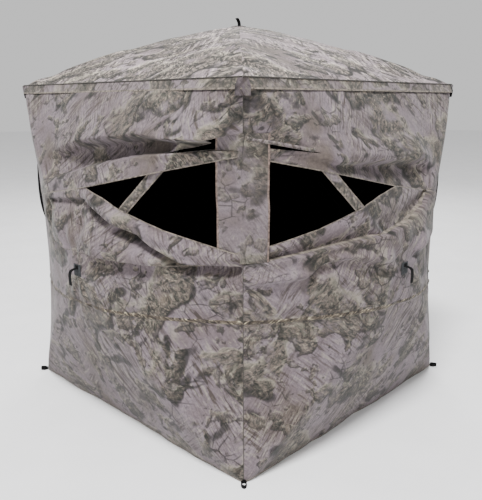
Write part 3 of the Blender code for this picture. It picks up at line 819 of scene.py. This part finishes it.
def hub_finish():
    """Moulded nylon with a light spark texture."""
    s = Shader("moulded_hub", 0.5, specular=0.5)
    place = s.object_place()
    grain = s.noise(place, 900.0, 2.0, 0.5)
    tone = s.ramp(s.noise(place, 60.0, 3.0), [(0.35, srgb(22, 22, 23)), (0.65, srgb(36, 36, 38))])
    s.bump(grain, 0.25, 0.0003)
    return s.colour(tone)


def zip_finish(name, dark, light, metallic, roughness):
    s = Shader(name, roughness, metallic=metallic)
    teeth = s.wave(260.0, "Z")
    tone = s.ramp(teeth, [(0.3, dark), (0.7, light)])
    s.bump(teeth, 0.5, 0.0006)
    return s.colour(tone)


def floor_finish():
    s = Shader("studio_floor", 0.9, specular=0.1)
    patchy = s.noise(s.object_place(), 3.0, 2.0)
    return s.colour(s.ramp(patchy, [(0.3, srgb(238, 238, 239)), (0.7, srgb(243, 243, 244))]))


LINING_MAT = lining()
HEM_MAT = hem_cloth("hem_binding", srgb(50, 46, 40), srgb(122, 112, 102))
SEAM_MAT = seam_cloth()
PIPE_MAT = hem_cloth("dark_piping", srgb(26, 25, 23), srgb(58, 54, 48))
WALL_MAT = camo("camo_wall")
BAND_MAT = camo("camo_band", pale=0.05, bark=1.15)
ROOF_MAT = camo("camo_roof", pale=0.06, bright=2.2, bark=1.25, contrast=2.1, saturation=0.6)
VALANCE_MAT = camo("camo_valance", pale=0.05, bright=0.50)
PANEL_MAT = camo("camo_panel", pale=0.05, bright=0.43, bark=0.6, litter=0.8)
CAP_MAT = camo("camo_cap", bright=0.30, bark=1.4)
PANEL_HEM_MAT = hem_cloth("panel_piping", srgb(66, 54, 48), srgb(124, 106, 98))
WEB_MAT = webbing()
PATCH_MAT = patch_cloth()


# ---- walls ----

# Each piece takes its print from another place on the cloth.
WALL_SHIFT = {"front": 0.0, "right": 4.37, "back": 9.11, "left": 14.53}
ROOF_SHIFT = 20.0
PANEL_SHIFT = 30.0
STRAP_SHIFT = 40
VALANCE_SHIFT = 50
CAP_SHIFT = 70
GORE_SCALE = 0.82


def make_wall(wall):
    cells = CELLS_NEAR if wall in OPEN_WALLS else CELLS_FAR
    points, faces, centres = cut_square(cells, wall_cuts(wall))
    part, mat = wall_regions(wall, centres[:, 0], centres[:, 1])
    quarter = quarter_of(centres[:, 0], centres[:, 1])

    def place(u, c):
        return wall_surface(wall, u, c)

    def plain(u, c):
        return wall_surface(wall, u, c, folded=False)

    def uv_of(u, c):
        return np.stack([u * HALF_SIDE + WALL_SHIFT[wall], c * HALF_HEIGHT], axis=1)

    def cut_out(name, chosen):
        kept = [faces[i] for i in chosen]
        mats = [WALL_MAT, LINING_MAT, HEM_MAT, SEAM_MAT]
        outward = WALLS[wall][0]
        return cloth(name, points, kept, place, plain, outward, uv_of, mats, mat[chosen])

    for name in ("upper", "lower"):
        for k, label in enumerate(QUARTERS):
            chosen = np.nonzero((part == name) & (quarter == k))[0]
            if not len(chosen):
                continue
            piece = cut_out(f"cloth_{wall}_{name}_{label}", chosen)
            hub_blend(piece)
    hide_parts(f"upper_wall_{wall}")
    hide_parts(f"lower_wall_{wall}")
    if wall == "back":
        door = cut_out("cloth_door", np.nonzero(part == "door")[0])
        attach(door, "door")
        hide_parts("door_flap")


def make_roof():
    points, faces, centres = cut_square(CELLS_ROOF, DIAGONALS)
    quarter = quarter_of(centres[:, 0], centres[:, 1])

    def plain(a, b):
        return roof_surface(a, b, folded=False)

    # Each gore is cut as a mirror of the next, so their streaks meet in chevrons on the ridges.
    along_eave = {
        "front": lambda a, b: (a, b),
        "right": lambda a, b: (-b + 5, -a),
        "back": lambda a, b: (-a + 10, -b),
        "left": lambda a, b: (b + 15, a),
    }
    for k, label in enumerate(("back", "front", "right", "left")):
        chosen = np.nonzero(quarter == k)[0]

        def uv_of(a, b, turn=along_eave[label]):
            across, down = turn(a, b)
            return np.stack([across * GORE_SCALE + ROOF_SHIFT, down * GORE_SCALE], axis=1)

        gore = cloth(
            f"cloth_roof_{label}",
            points,
            [faces[i] for i in chosen],
            roof_surface,
            plain,
            UP,
            uv_of,
            [ROOF_MAT, LINING_MAT],
            np.full(len(chosen), CAMO),
        )
        hub_blend(gore)
        if k == 0:
            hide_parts("roof_canopy")


for wall_name in WALLS:
    make_wall(wall_name)
make_roof()


# ---- strips, tubes and ribbons ----


def grid_faces(columns, rows):
    return [
        [i * rows + j, (i + 1) * rows + j, (i + 1) * rows + j + 1, i * rows + j + 1]
        for i in range(columns - 1)
        for j in range(rows - 1)
    ]


def grid_uvs(along, across):
    """Places on the cloth for a grid of points, from its two rulers."""
    return np.stack(np.meshgrid(along, across, indexing="ij"), axis=2).reshape(-1, 2)


def sheet_from_grid(name, outer, thickness, mats, face_mats, uvs, closed=False):
    """A thin closed sheet from a grid of points (columns, rows, 3)."""
    columns, rows, _ = outer.shape
    ahead = np.roll(outer, -1, axis=0) if closed else np.concatenate([outer[1:], outer[-1:]])
    behind = np.roll(outer, 1, axis=0) if closed else np.concatenate([outer[:1], outer[:-1]])
    above = np.concatenate([outer[:, 1:], outer[:, -1:]], axis=1)
    below = np.concatenate([outer[:, :1], outer[:, :-1]], axis=1)
    n = np.cross(ahead - behind, above - below)
    n = n / np.maximum(np.linalg.norm(n, axis=2, keepdims=True), 1e-12)
    faces = grid_faces(columns, rows)
    if closed:
        last = (columns - 1) * rows
        faces += [[last + j, j, j + 1, last + j + 1] for j in range(rows - 1)]
    flat = outer.reshape(-1, 3)
    normals = n.reshape(-1, 3)
    inner = flat - normals * thickness
    return layered_mesh(name, flat, inner, faces, normals, uvs, mats, face_mats, False)


def skinned(name, bm, rings, mat, closed=False, smooth=False):
    """An object with faces from each ring of points to the next, and flat ends where it is open."""
    for here, there in zip(rings, rings[1:] + (rings[:1] if closed else [])):
        for j in range(len(here)):
            k = (j + 1) % len(here)
            bm.faces.new((here[j], here[k], there[k], there[j]))
    if not closed:
        bm.faces.new(rings[0][::-1])
        bm.faces.new(rings[-1])
    bmesh.ops.recalc_face_normals(bm, faces=bm.faces)
    for f in bm.faces:
        f.smooth = smooth
    return object_from(name, bm, mat)


def object_from(name, bm, mat):
    mesh = bpy.data.meshes.new(name)
    bm.to_mesh(mesh)
    bm.free()
    mesh.materials.append(mat)
    return add_object(name, mesh)


def tube(name, path, radius, mat, sides=8, closed=False):
    """A round cord along a path."""
    bm = bmesh.new()
    rings = []
    path = [Vector(p) for p in path]
    count = len(path)
    for k, p in enumerate(path):
        ahead = path[(k + 1) % count] if closed else path[min(k + 1, count - 1)]
        behind = path[k - 1] if closed else path[max(k - 1, 0)]
        along = (ahead - behind).normalized()
        side = along.cross(UP) if abs(along.z) < 0.9 else along.cross(Vector((1, 0, 0)))
        side.normalize()
        up = side.cross(along)
        ring = []
        for j in range(sides):
            angle = 2 * math.pi * j / sides
            ring.append(bm.verts.new(p + (side * math.cos(angle) + up * math.sin(angle)) * radius))
        rings.append(ring)
    obj = skinned(name, bm, rings, mat, closed, smooth=True)
    layer = obj.data.uv_layers.new(name="cloth")
    for loop in obj.data.loops:
        co = obj.data.vertices[loop.vertex_index].co
        layer.data[loop.index].uv = (co.x + co.y, co.z)
    return obj


def ribbon(name, route, width_axis, width, thickness, mat):
    """A flat woven strap along a route, with slightly rounded long edges."""
    route = [Vector(p) for p in route]
    aside = Vector(width_axis).normalized()
    shares = (-1, -0.92, 0, 0.92, 1)
    bm = bmesh.new()
    rings = []
    for k, p in enumerate(route):
        along = (route[min(k + 1, len(route) - 1)] - route[max(k - 1, 0)]).normalized()
        out = along.cross(aside).normalized()
        front, back = [], []
        for share in shares:
            thick = thickness * (0.35 if abs(share) == 1 else 0.5)
            front.append(bm.verts.new(p + aside * (share * width / 2) + out * thick))
            back.append(bm.verts.new(p + aside * (share * width / 2) - out * thick))
        rings.append(front + back[::-1])
    return skinned(name, bm, rings, mat)


def smooth_route(points, steps):
    """A Catmull-Rom curve through points."""
    pts = [np.array(p, float) for p in points]
    pts = [2 * pts[0] - pts[1], *pts, 2 * pts[-1] - pts[-2]]
    route = []
    for a, b, c, d in zip(pts, pts[1:], pts[2:], pts[3:]):
        for k in range(steps):
            t = k / steps
            square, cube = 2 * a - 5 * b + 4 * c - d, 3 * b - a - 3 * c + d
            route.append(0.5 * (2 * b + (c - a) * t + square * t**2 + cube * t**3))
    route.append(pts[-2])
    return route


# ---- corner panels ----

PANEL_LIFT = 0.0032
PANEL_ROWS = 44
PANEL_COLUMNS = 14


def panel_points(first, second, rows, columns, low, high, lift, edge=PANEL_U, side=1):
    """A sheet that wraps one corner, from the first wall's cloth to the second's."""
    grid = []
    for step in range(2 * columns + 1):
        share = step / columns - 1
        wall = first if share <= 0 else second
        u = np.full(rows, side * (1 - abs(share) * (1 - edge)))
        z = np.linspace(low, high, rows)
        points = wall_surface(wall, u, z / HALF_HEIGHT - 1, lift, folded=False)
        normal, _ = WALLS[wall]
        slack = 0.0022 * noise(share * 2.2, z * 9, 71) + 0.0016 * noise(share * 5, z * 22, 72)
        level = 1 - bump(abs(share), 0, 0.12) * 0.8
        grid.append(points + np.outer(slack * level, normal))
    return np.array(grid)


def make_panel(label, first, second):
    grid = panel_points(first, second, PANEL_ROWS, PANEL_COLUMNS, PANEL_LOW, PANEL_HIGH, PANEL_LIFT)
    columns, rows, _ = grid.shape
    width = 2 * (1 - PANEL_U) * HALF_SIDE
    across = np.linspace(-width / 2, width / 2, columns)
    up = np.linspace(PANEL_LOW, PANEL_HIGH, rows)
    uvs = grid_uvs(across + PANEL_SHIFT, up)
    edges = (0, columns - 2)
    face_mats = np.array([HEM if i in edges else CAMO for i in range(columns - 1) for _ in range(rows - 1)])
    mats = [PANEL_MAT, LINING_MAT, PANEL_HEM_MAT]
    panel = sheet_from_grid(f"cloth_panel_{label}", grid, CLOTH_THICK, mats, face_mats, uvs)
    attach(panel, "shell")
    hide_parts(f"corner_panel_{label}")


make_panel("near", "front", "right")
make_panel("far", "back", "left")


# ---- window straps: the sleeves of the upper poles where they cross a window ----

STRAP_WIDTH = 0.044
STRAP_RUN = (0.335, 0.605)
STRAP_INSIDE = 0.0035


def make_strap(wall):
    steps, rows = 46, 9
    grid = np.zeros((steps, rows, 3))
    across = np.linspace(-1, 1, rows)
    for k, run in enumerate(np.linspace(*STRAP_RUN, steps)):
        shift = across * STRAP_WIDTH / 2 / math.sqrt(2)
        u = run + shift / HALF_SIDE
        c = run - shift / HALF_HEIGHT
        hem = 0.0015 * bump(np.abs(across), 1.0, 0.3)
        slack = 0.0012 * noise(np.full(rows, run * 30), across * 2, 81)
        points = wall_surface(wall, u, c, folded=False)
        normal, _ = WALLS[wall]
        grid[k] = points + np.outer(hem + slack - STRAP_INSIDE, normal)
    if wall == "front":
        grid = grid[:, ::-1]
    along = np.linspace(0, (STRAP_RUN[1] - STRAP_RUN[0]) * HALF_SIDE * math.sqrt(2), steps)
    uvs = grid_uvs(along + STRAP_SHIFT, across * STRAP_WIDTH / 2)
    edges = (0, rows - 2)
    face_mats = np.array([HEM if j in edges else CAMO for _ in range(steps - 1) for j in range(rows - 1)])
    mats = [BAND_MAT, LINING_MAT, HEM_MAT]
    strap = sheet_from_grid(f"cloth_strap_{wall}", grid, CLOTH_THICK, mats, face_mats, uvs)
    hub_blend(strap)
    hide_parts(f"window_strap_{wall}")


for wall_name in OPEN_WALLS:
    make_strap(wall_name)


# ---- valance ----

VALANCE_DROP = 0.038
VALANCE_LIFT = 0.0062
PIPING_RISE = 0.0005
PIPING_LIFT = 0.0065
PIPING_RADIUS = 0.0024
EAVE_STEPS = 84


def eave_loop(z, lift, wave):
    """Points round the eave, anticlockwise from the near corner, with rounded corners."""
    loop = []
    for wall, (normal, tangent) in WALLS.items():
        for k in range(EAVE_STEPS):
            u = -1 + 2 * (k + 0.5) / EAVE_STEPS
            if wall in ("right", "left"):
                u = -u
            ripple = wave * noise(np.array([u * 9.0]), np.array([len(loop) * 0.13]), 91)[0]
            near = 1 - float(ease((1 - abs(u)) / 0.02))
            out = HALF_SIDE + lift + ripple * (1 - near) - 0.0015 * near
            shoulder = max(abs(u), abs(z / HALF_HEIGHT - 1))
            slack = float(bow(shoulder, WALL_BULGE)) if z < WALL_TOP else 0.0
            side = u * (HALF_SIDE + lift)
            loop.append(list(normal * (out + slack) + tangent * side + UP * z))
    return loop


def make_valance():
    rows = 7
    drops = np.linspace(0, VALANCE_DROP, rows)
    top = EAVE_HEIGHT - 0.001
    loops = [eave_loop(top - d, VALANCE_LIFT, 0.0022 * d / VALANCE_DROP) for d in drops]
    grid = np.array(loops).transpose(1, 0, 2)
    columns = grid.shape[0]
    along = np.linspace(0, 8 * HALF_SIDE, columns)
    uvs = grid_uvs(along + VALANCE_SHIFT, -drops)
    face_mats = np.array([HEM if j == 0 else CAMO for _ in range(columns) for j in range(rows - 1)])
    mats = [VALANCE_MAT, LINING_MAT, HEM_MAT]
    valance = sheet_from_grid("cloth_valance", grid[:, ::-1], CLOTH_THICK, mats, face_mats, uvs, closed=True)
    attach(valance, "shell")
    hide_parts("eave_valance")
    path = eave_loop(EAVE_HEIGHT + PIPING_RISE, PIPING_LIFT, 0.0)
    piping = tube("eave_piping", path, PIPING_RADIUS, PIPE_MAT, closed=True)
    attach(piping, "shell")


make_valance()


# ---- seams down the corners, caps at the eave corners, and the rolled edge in a slit ----

CORNER_SEAM_RADIUS = 0.0013
CORNER_SEAM_STEPS = 60
CAP_LOW = WALL_TOP - 0.056
CAP_HIGH = EAVE_HEIGHT - 0.002
CAP_EDGE = 0.966
CAP_LIFT = 0.0084
SLIT_ROLL_RADIUS = 0.0065


def make_corner_details(label, first, second, side):
    z = np.linspace(0.004, WALL_TOP - 0.004, CORNER_SEAM_STEPS)
    edge = np.full(CORNER_SEAM_STEPS, side)
    path = wall_surface(first, edge, z / HALF_HEIGHT - 1, 0.0006, folded=False)
    seam = tube(f"corner_seam_{label}", path, CORNER_SEAM_RADIUS, PIPE_MAT, sides=6)
    grid = panel_points(first, second, 12, 5, CAP_LOW, CAP_HIGH, CAP_LIFT, CAP_EDGE, side)
    columns, rows, _ = grid.shape
    uvs = grid_uvs(np.arange(columns) * 0.005 + CAP_SHIFT, np.arange(rows) * 0.005)
    face_mats = np.full((columns - 1) * (rows - 1), CAMO)
    cap = sheet_from_grid(f"eave_cap_{label}", grid, CLOTH_THICK, [CAP_MAT, LINING_MAT], face_mats, uvs)
    for piece in (seam, cap):
        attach(piece, "shell")


for corner_label, first_wall, second_wall, wall_side in (
    ("near", "front", "right", 1),
    ("back_right", "right", "back", -1),
    ("far", "back", "left", 1),
    ("front_left", "left", "front", -1),
):
    make_corner_details(corner_label, first_wall, second_wall, wall_side)


def make_slit_roll(wall):
    """The edge of the window cloth, rolled up and held in the slit."""
    u = np.linspace(0.66, 0.985, 40)
    z = SLIT_START[1] + 0.006 + 0.145 * (u - SLIT_START[0])
    path = wall_surface(wall, u, z / HALF_HEIGHT - 1, 0.001, folded=False)
    roll = tube(f"slit_roll_{wall}", path, SLIT_ROLL_RADIUS, BAND_MAT, sides=12)
    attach(roll, "shell")


make_slit_roll("right")


# ---- black strips of painted shade at the two outer corners ----

SHADE_SLIVER_LOW = 0.82
SHADE_SLIVER_HIGH = 1.22
SHADE_SLIVER_WIDTH = 0.036
SHADE_SLIVER_INSIDE = 0.006
SHADE_SLIVER_THICK = 0.0012
SHADE_SLIVER_ROWS = 36


def make_shade_sliver(label, x, y):
    """A black strip inside a corner, as painted shade: it shows as a dark sliver where the cloth is pulled
    in.
    """
    outward = Vector((x, y, 0)).normalized()
    grid = []
    for share in (0.0, 0.5, 1.0):
        line = []
        for t in np.linspace(0, 1, SHADE_SLIVER_ROWS):
            z = SHADE_SLIVER_LOW + t * (SHADE_SLIVER_HIGH - SHADE_SLIVER_LOW)
            c = z / HALF_HEIGHT - 1
            corner = (HALF_SIDE - CORNER_PULL * (1 - c * c)) * math.sqrt(2)
            width = SHADE_SLIVER_WIDTH * math.sin(math.pi * t**0.65) ** 0.8
            reach = corner - SHADE_SLIVER_INSIDE + share * (width + SHADE_SLIVER_INSIDE)
            line.append(list(outward * reach + UP * z))
        grid.append(line)
    grid = np.array(grid)
    uvs = grid.reshape(-1, 3)[:, [0, 2]]
    face_mats = np.zeros(2 * (SHADE_SLIVER_ROWS - 1))
    mats = [LINING_MAT, LINING_MAT]
    piece = sheet_from_grid(f"corner_shade_sliver_{label}", grid, SHADE_SLIVER_THICK, mats, face_mats, uvs)
    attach(piece, "shell")


# Only the two corners on the outline get this painted shade.
make_shade_sliver("front_left", -1, -1)
make_shade_sliver("back_right", 1, 1)


# ---- hub patches and pull straps ----

PATCH_RADIUS = 0.045
PATCH_LIFT = 0.0012
TAB_WIDTH = 0.020
TAB_THICK = 0.0018
TAB_LIFT = 0.0022
TAB_BASE_LIFT = 0.0034
SQUARE_HALF = 0.025
SQUARE_THICK = 0.0014
# The pull straps' routes, as distances up the panel and outwards from it.
ROOF_TAB = ((0.004, 0.002), (0.004, 0.014), (-0.002, 0.027), (-0.012, 0.037))
WALL_TAB = (
    *((0.008, 0.003), (0.007, 0.018), (0.001, 0.031)),
    *((-0.014, 0.0362), (-0.034, 0.0364), (-0.057, 0.035)),
)


def polar_patch(wall):
    """A round patch of cloth that lies on the middle of a panel."""
    rings, spokes = 9, 48
    grid = np.zeros((spokes, rings, 3))
    flat = np.zeros((spokes, rings, 2))
    for j, r in enumerate(np.linspace(0.0006, PATCH_RADIUS, rings)):
        for k in range(spokes):
            angle = 2 * math.pi * k / spokes
            u, c = r * math.cos(angle) / HALF_SIDE, r * math.sin(angle) / HALF_HEIGHT
            if wall == "roof":
                p = roof_surface(np.array([u]), np.array([c]), PATCH_LIFT)[0]
            else:
                p = wall_surface(wall, np.array([u]), np.array([c]), PATCH_LIFT)[0]
            grid[k, j] = p
            flat[k, j] = (u * HALF_SIDE + WALL_SHIFT.get(wall, ROOF_SHIFT), c * HALF_HEIGHT)
    if wall in ("front", "back", "roof"):
        grid, flat = grid[::-1], flat[::-1]
    face_mats = np.full(spokes * (rings - 1), CAMO)
    mats = [ROOF_MAT if wall == "roof" else WALL_MAT, LINING_MAT, HEM_MAT]
    uvs = flat.reshape(-1, 2)
    patch = sheet_from_grid(f"cloth_patch_{wall}", grid, CLOTH_THICK, mats, face_mats, uvs, closed=True)
    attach(patch, f"hub_{wall}")
    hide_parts(f"hub_patch_{wall}")


def square_patch(name, centre, sideways, up, outward):
    """A stitched square of heavy cloth with turned edges."""
    steps = 15
    grid = np.zeros((steps, steps, 3))
    shares = np.linspace(-1, 1, steps)
    for i, s in enumerate(shares):
        for j, t in enumerate(shares):
            edge = max(abs(s), abs(t))
            hem = 0.0007 * float(bump(edge, 0.9, 0.12))
            crown = 0.0022 * (1 - 0.5 * (s * s + t * t))
            p = centre + sideways * (s * SQUARE_HALF) + up * (t * SQUARE_HALF) + outward * (crown + hem)
            grid[i, j] = list(p)
    uvs = grid_uvs(shares, shares) * SQUARE_HALF
    return sheet_from_grid(name, grid, SQUARE_THICK, [PATCH_MAT, PATCH_MAT], np.zeros((steps - 1) ** 2), uvs)


def make_tab(wall):
    """A pull strap, its sewn-down end, and the square of heavy cloth behind them."""
    if wall == "roof":
        outward, sideways, shape = UP, Vector((1, 0, 0)), ROOF_TAB
    else:
        outward = WALLS[wall][0]
        sideways, shape = UP.cross(outward), WALL_TAB
    up = outward.cross(sideways)
    lifted = hub_centre(wall) + outward * TAB_LIFT
    patch = square_patch(f"square_patch_{wall}", lifted, sideways, up, outward)
    route = [lifted + up * a + outward * b for a, b in smooth_route(shape, 6)]
    strap = ribbon(f"pull_strap_{wall}", route, sideways, TAB_WIDTH, TAB_THICK, WEB_MAT)
    sewn = [lifted + up * a + outward * TAB_BASE_LIFT for a in (0.021, 0.016, 0.011, 0.006)]
    base = ribbon(f"strap_base_{wall}", sewn, sideways, TAB_WIDTH, TAB_THICK, WEB_MAT)
    for piece in (patch, strap, base):
        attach(piece, f"hub_{wall}")
    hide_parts(f"pull_tab_{wall}")


for wall_name in (*WALLS, "roof"):
    polar_patch(wall_name)
    make_tab(wall_name)


# ---- stake loops ----

LOOP_HALF_LENGTH = 0.0165
LOOP_HALF_WIDTH = 0.0095
LOOP_THICK = 0.0018
LOOP_STEPS = 33
LOOP_ROWS = 5


def make_loop(label):
    """A loop of webbing on edge, at one base corner."""
    low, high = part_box(f"stake_loop_{label}")
    centre = (low + high) / 2
    height = (high.z - low.z) * 0.92
    outward = Vector((1 if centre.x > 0 else -1, 1 if centre.y > 0 else -1, 0)).normalized()
    aside = outward.cross(UP)
    grid = []
    for k in range(LOOP_STEPS):
        angle = 2 * math.pi * k / LOOP_STEPS
        sag = 0.0012 * math.sin(2 * angle)
        out, side = LOOP_HALF_LENGTH * math.cos(angle), LOOP_HALF_WIDTH * math.sin(angle)
        p = centre + outward * out + aside * side + UP * sag
        grid.append([[p.x, p.y, p.z + share * height] for share in np.linspace(-0.5, 0.5, LOOP_ROWS)])
    grid = np.array(grid)
    uvs = grid.reshape(-1, 3)[:, [0, 2]]
    face_mats = np.zeros(LOOP_STEPS * (LOOP_ROWS - 1))
    mats = [WEB_MAT, WEB_MAT]
    loop = sheet_from_grid(f"webbing_loop_{label}", grid, LOOP_THICK, mats, face_mats, uvs, closed=True)
    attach(loop, "shell")
    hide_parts(f"stake_loop_{label}")


for loop_label in ("front_right", "back_right", "back_left", "front_left"):
    make_loop(loop_label)


# ---- finishes of the CAD pieces that stay ----

POLE_MAT = pole_finish()
HUB_MAT = hub_finish()
ZIP_MAT = zip_finish("zip_coil_black", srgb(14, 14, 15), srgb(40, 40, 42), 0.0, 0.5)
SLIDER_MAT = zip_finish("slider_metal", srgb(40, 40, 42), srgb(90, 90, 94), 0.9, 0.38)


def finish_of(node):
    if node.startswith("pole_"):
        return POLE_MAT
    if node == "door_zip":
        return ZIP_MAT
    if node == "door_slider":
        return SLIDER_MAT
    return HUB_MAT


for node_name, node_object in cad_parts.items():
    for slot_index in range(len(node_object.material_slots)):
        node_object.material_slots[slot_index].material = finish_of(node_name)


# ---- floor, light and camera ----

FLOOR_RADIUS = 30.0
FLOOR_HEIGHT = -0.0005
WORLD_STRENGTH = 0.76
# Each light has a name, a place, the point it faces, a diameter and a power in watts.
LIGHTS = (
    ("overhead", (2.6, -3.9, 8.6), (0.1, -0.1, 0.8), 2.4, 1700),
    ("front_fill", (4.2, -4.4, 0.8), (0, 0, 0.8), 2.6, 30),
    ("back_fill", (-3.6, 4.4, 4.2), (0, 0, 0.7), 2.6, 200),
)


def make_floor():
    bm = bmesh.new()
    bmesh.ops.create_circle(bm, cap_ends=True, segments=96, radius=FLOOR_RADIUS)
    floor = object_from("studio_floor", bm, floor_finish())
    floor.location.z = FLOOR_HEIGHT


def make_light(name, place, target, size, power):
    data = bpy.data.lights.new(name, "AREA")
    data.shape = "DISK"
    data.size = size
    data.energy = power
    light = add_object(name, data)
    light.location = place
    light.rotation_euler = (Vector(target) - Vector(place)).to_track_quat("-Z", "Y").to_euler()


def make_world():
    world = bpy.data.worlds.new("studio")
    world.use_nodes = True
    background = world.node_tree.nodes["Background"]
    background.inputs["Color"].default_value = (1.0, 1.0, 1.0, 1)
    background.inputs["Strength"].default_value = WORLD_STRENGTH
    bpy.context.scene.world = world


CAMERA_AZIMUTH = 44.21
CAMERA_DISTANCE = 3.092
CAMERA_HEIGHT = 1.411
CAMERA_TILT = 13.64
CAMERA_ROLL = 0.18
CAMERA_LENS = 43.99
CAMERA_SHIFT = 0.0044


def make_camera():
    data = bpy.data.cameras.new("camera")
    data.lens = CAMERA_LENS
    data.sensor_width = 36.0
    data.sensor_fit = "AUTO"
    data.shift_x = CAMERA_SHIFT
    camera = add_object("camera", data)
    azimuth = math.radians(CAMERA_AZIMUTH)
    camera.location = (
        math.sin(azimuth) * CAMERA_DISTANCE,
        -math.cos(azimuth) * CAMERA_DISTANCE,
        CAMERA_HEIGHT,
    )
    camera.rotation_euler = (math.radians(90 - CAMERA_TILT), math.radians(CAMERA_ROLL), azimuth)
    bpy.context.scene.camera = camera


make_floor()
make_world()
for light_values in LIGHTS:
    make_light(*light_values)
make_camera()
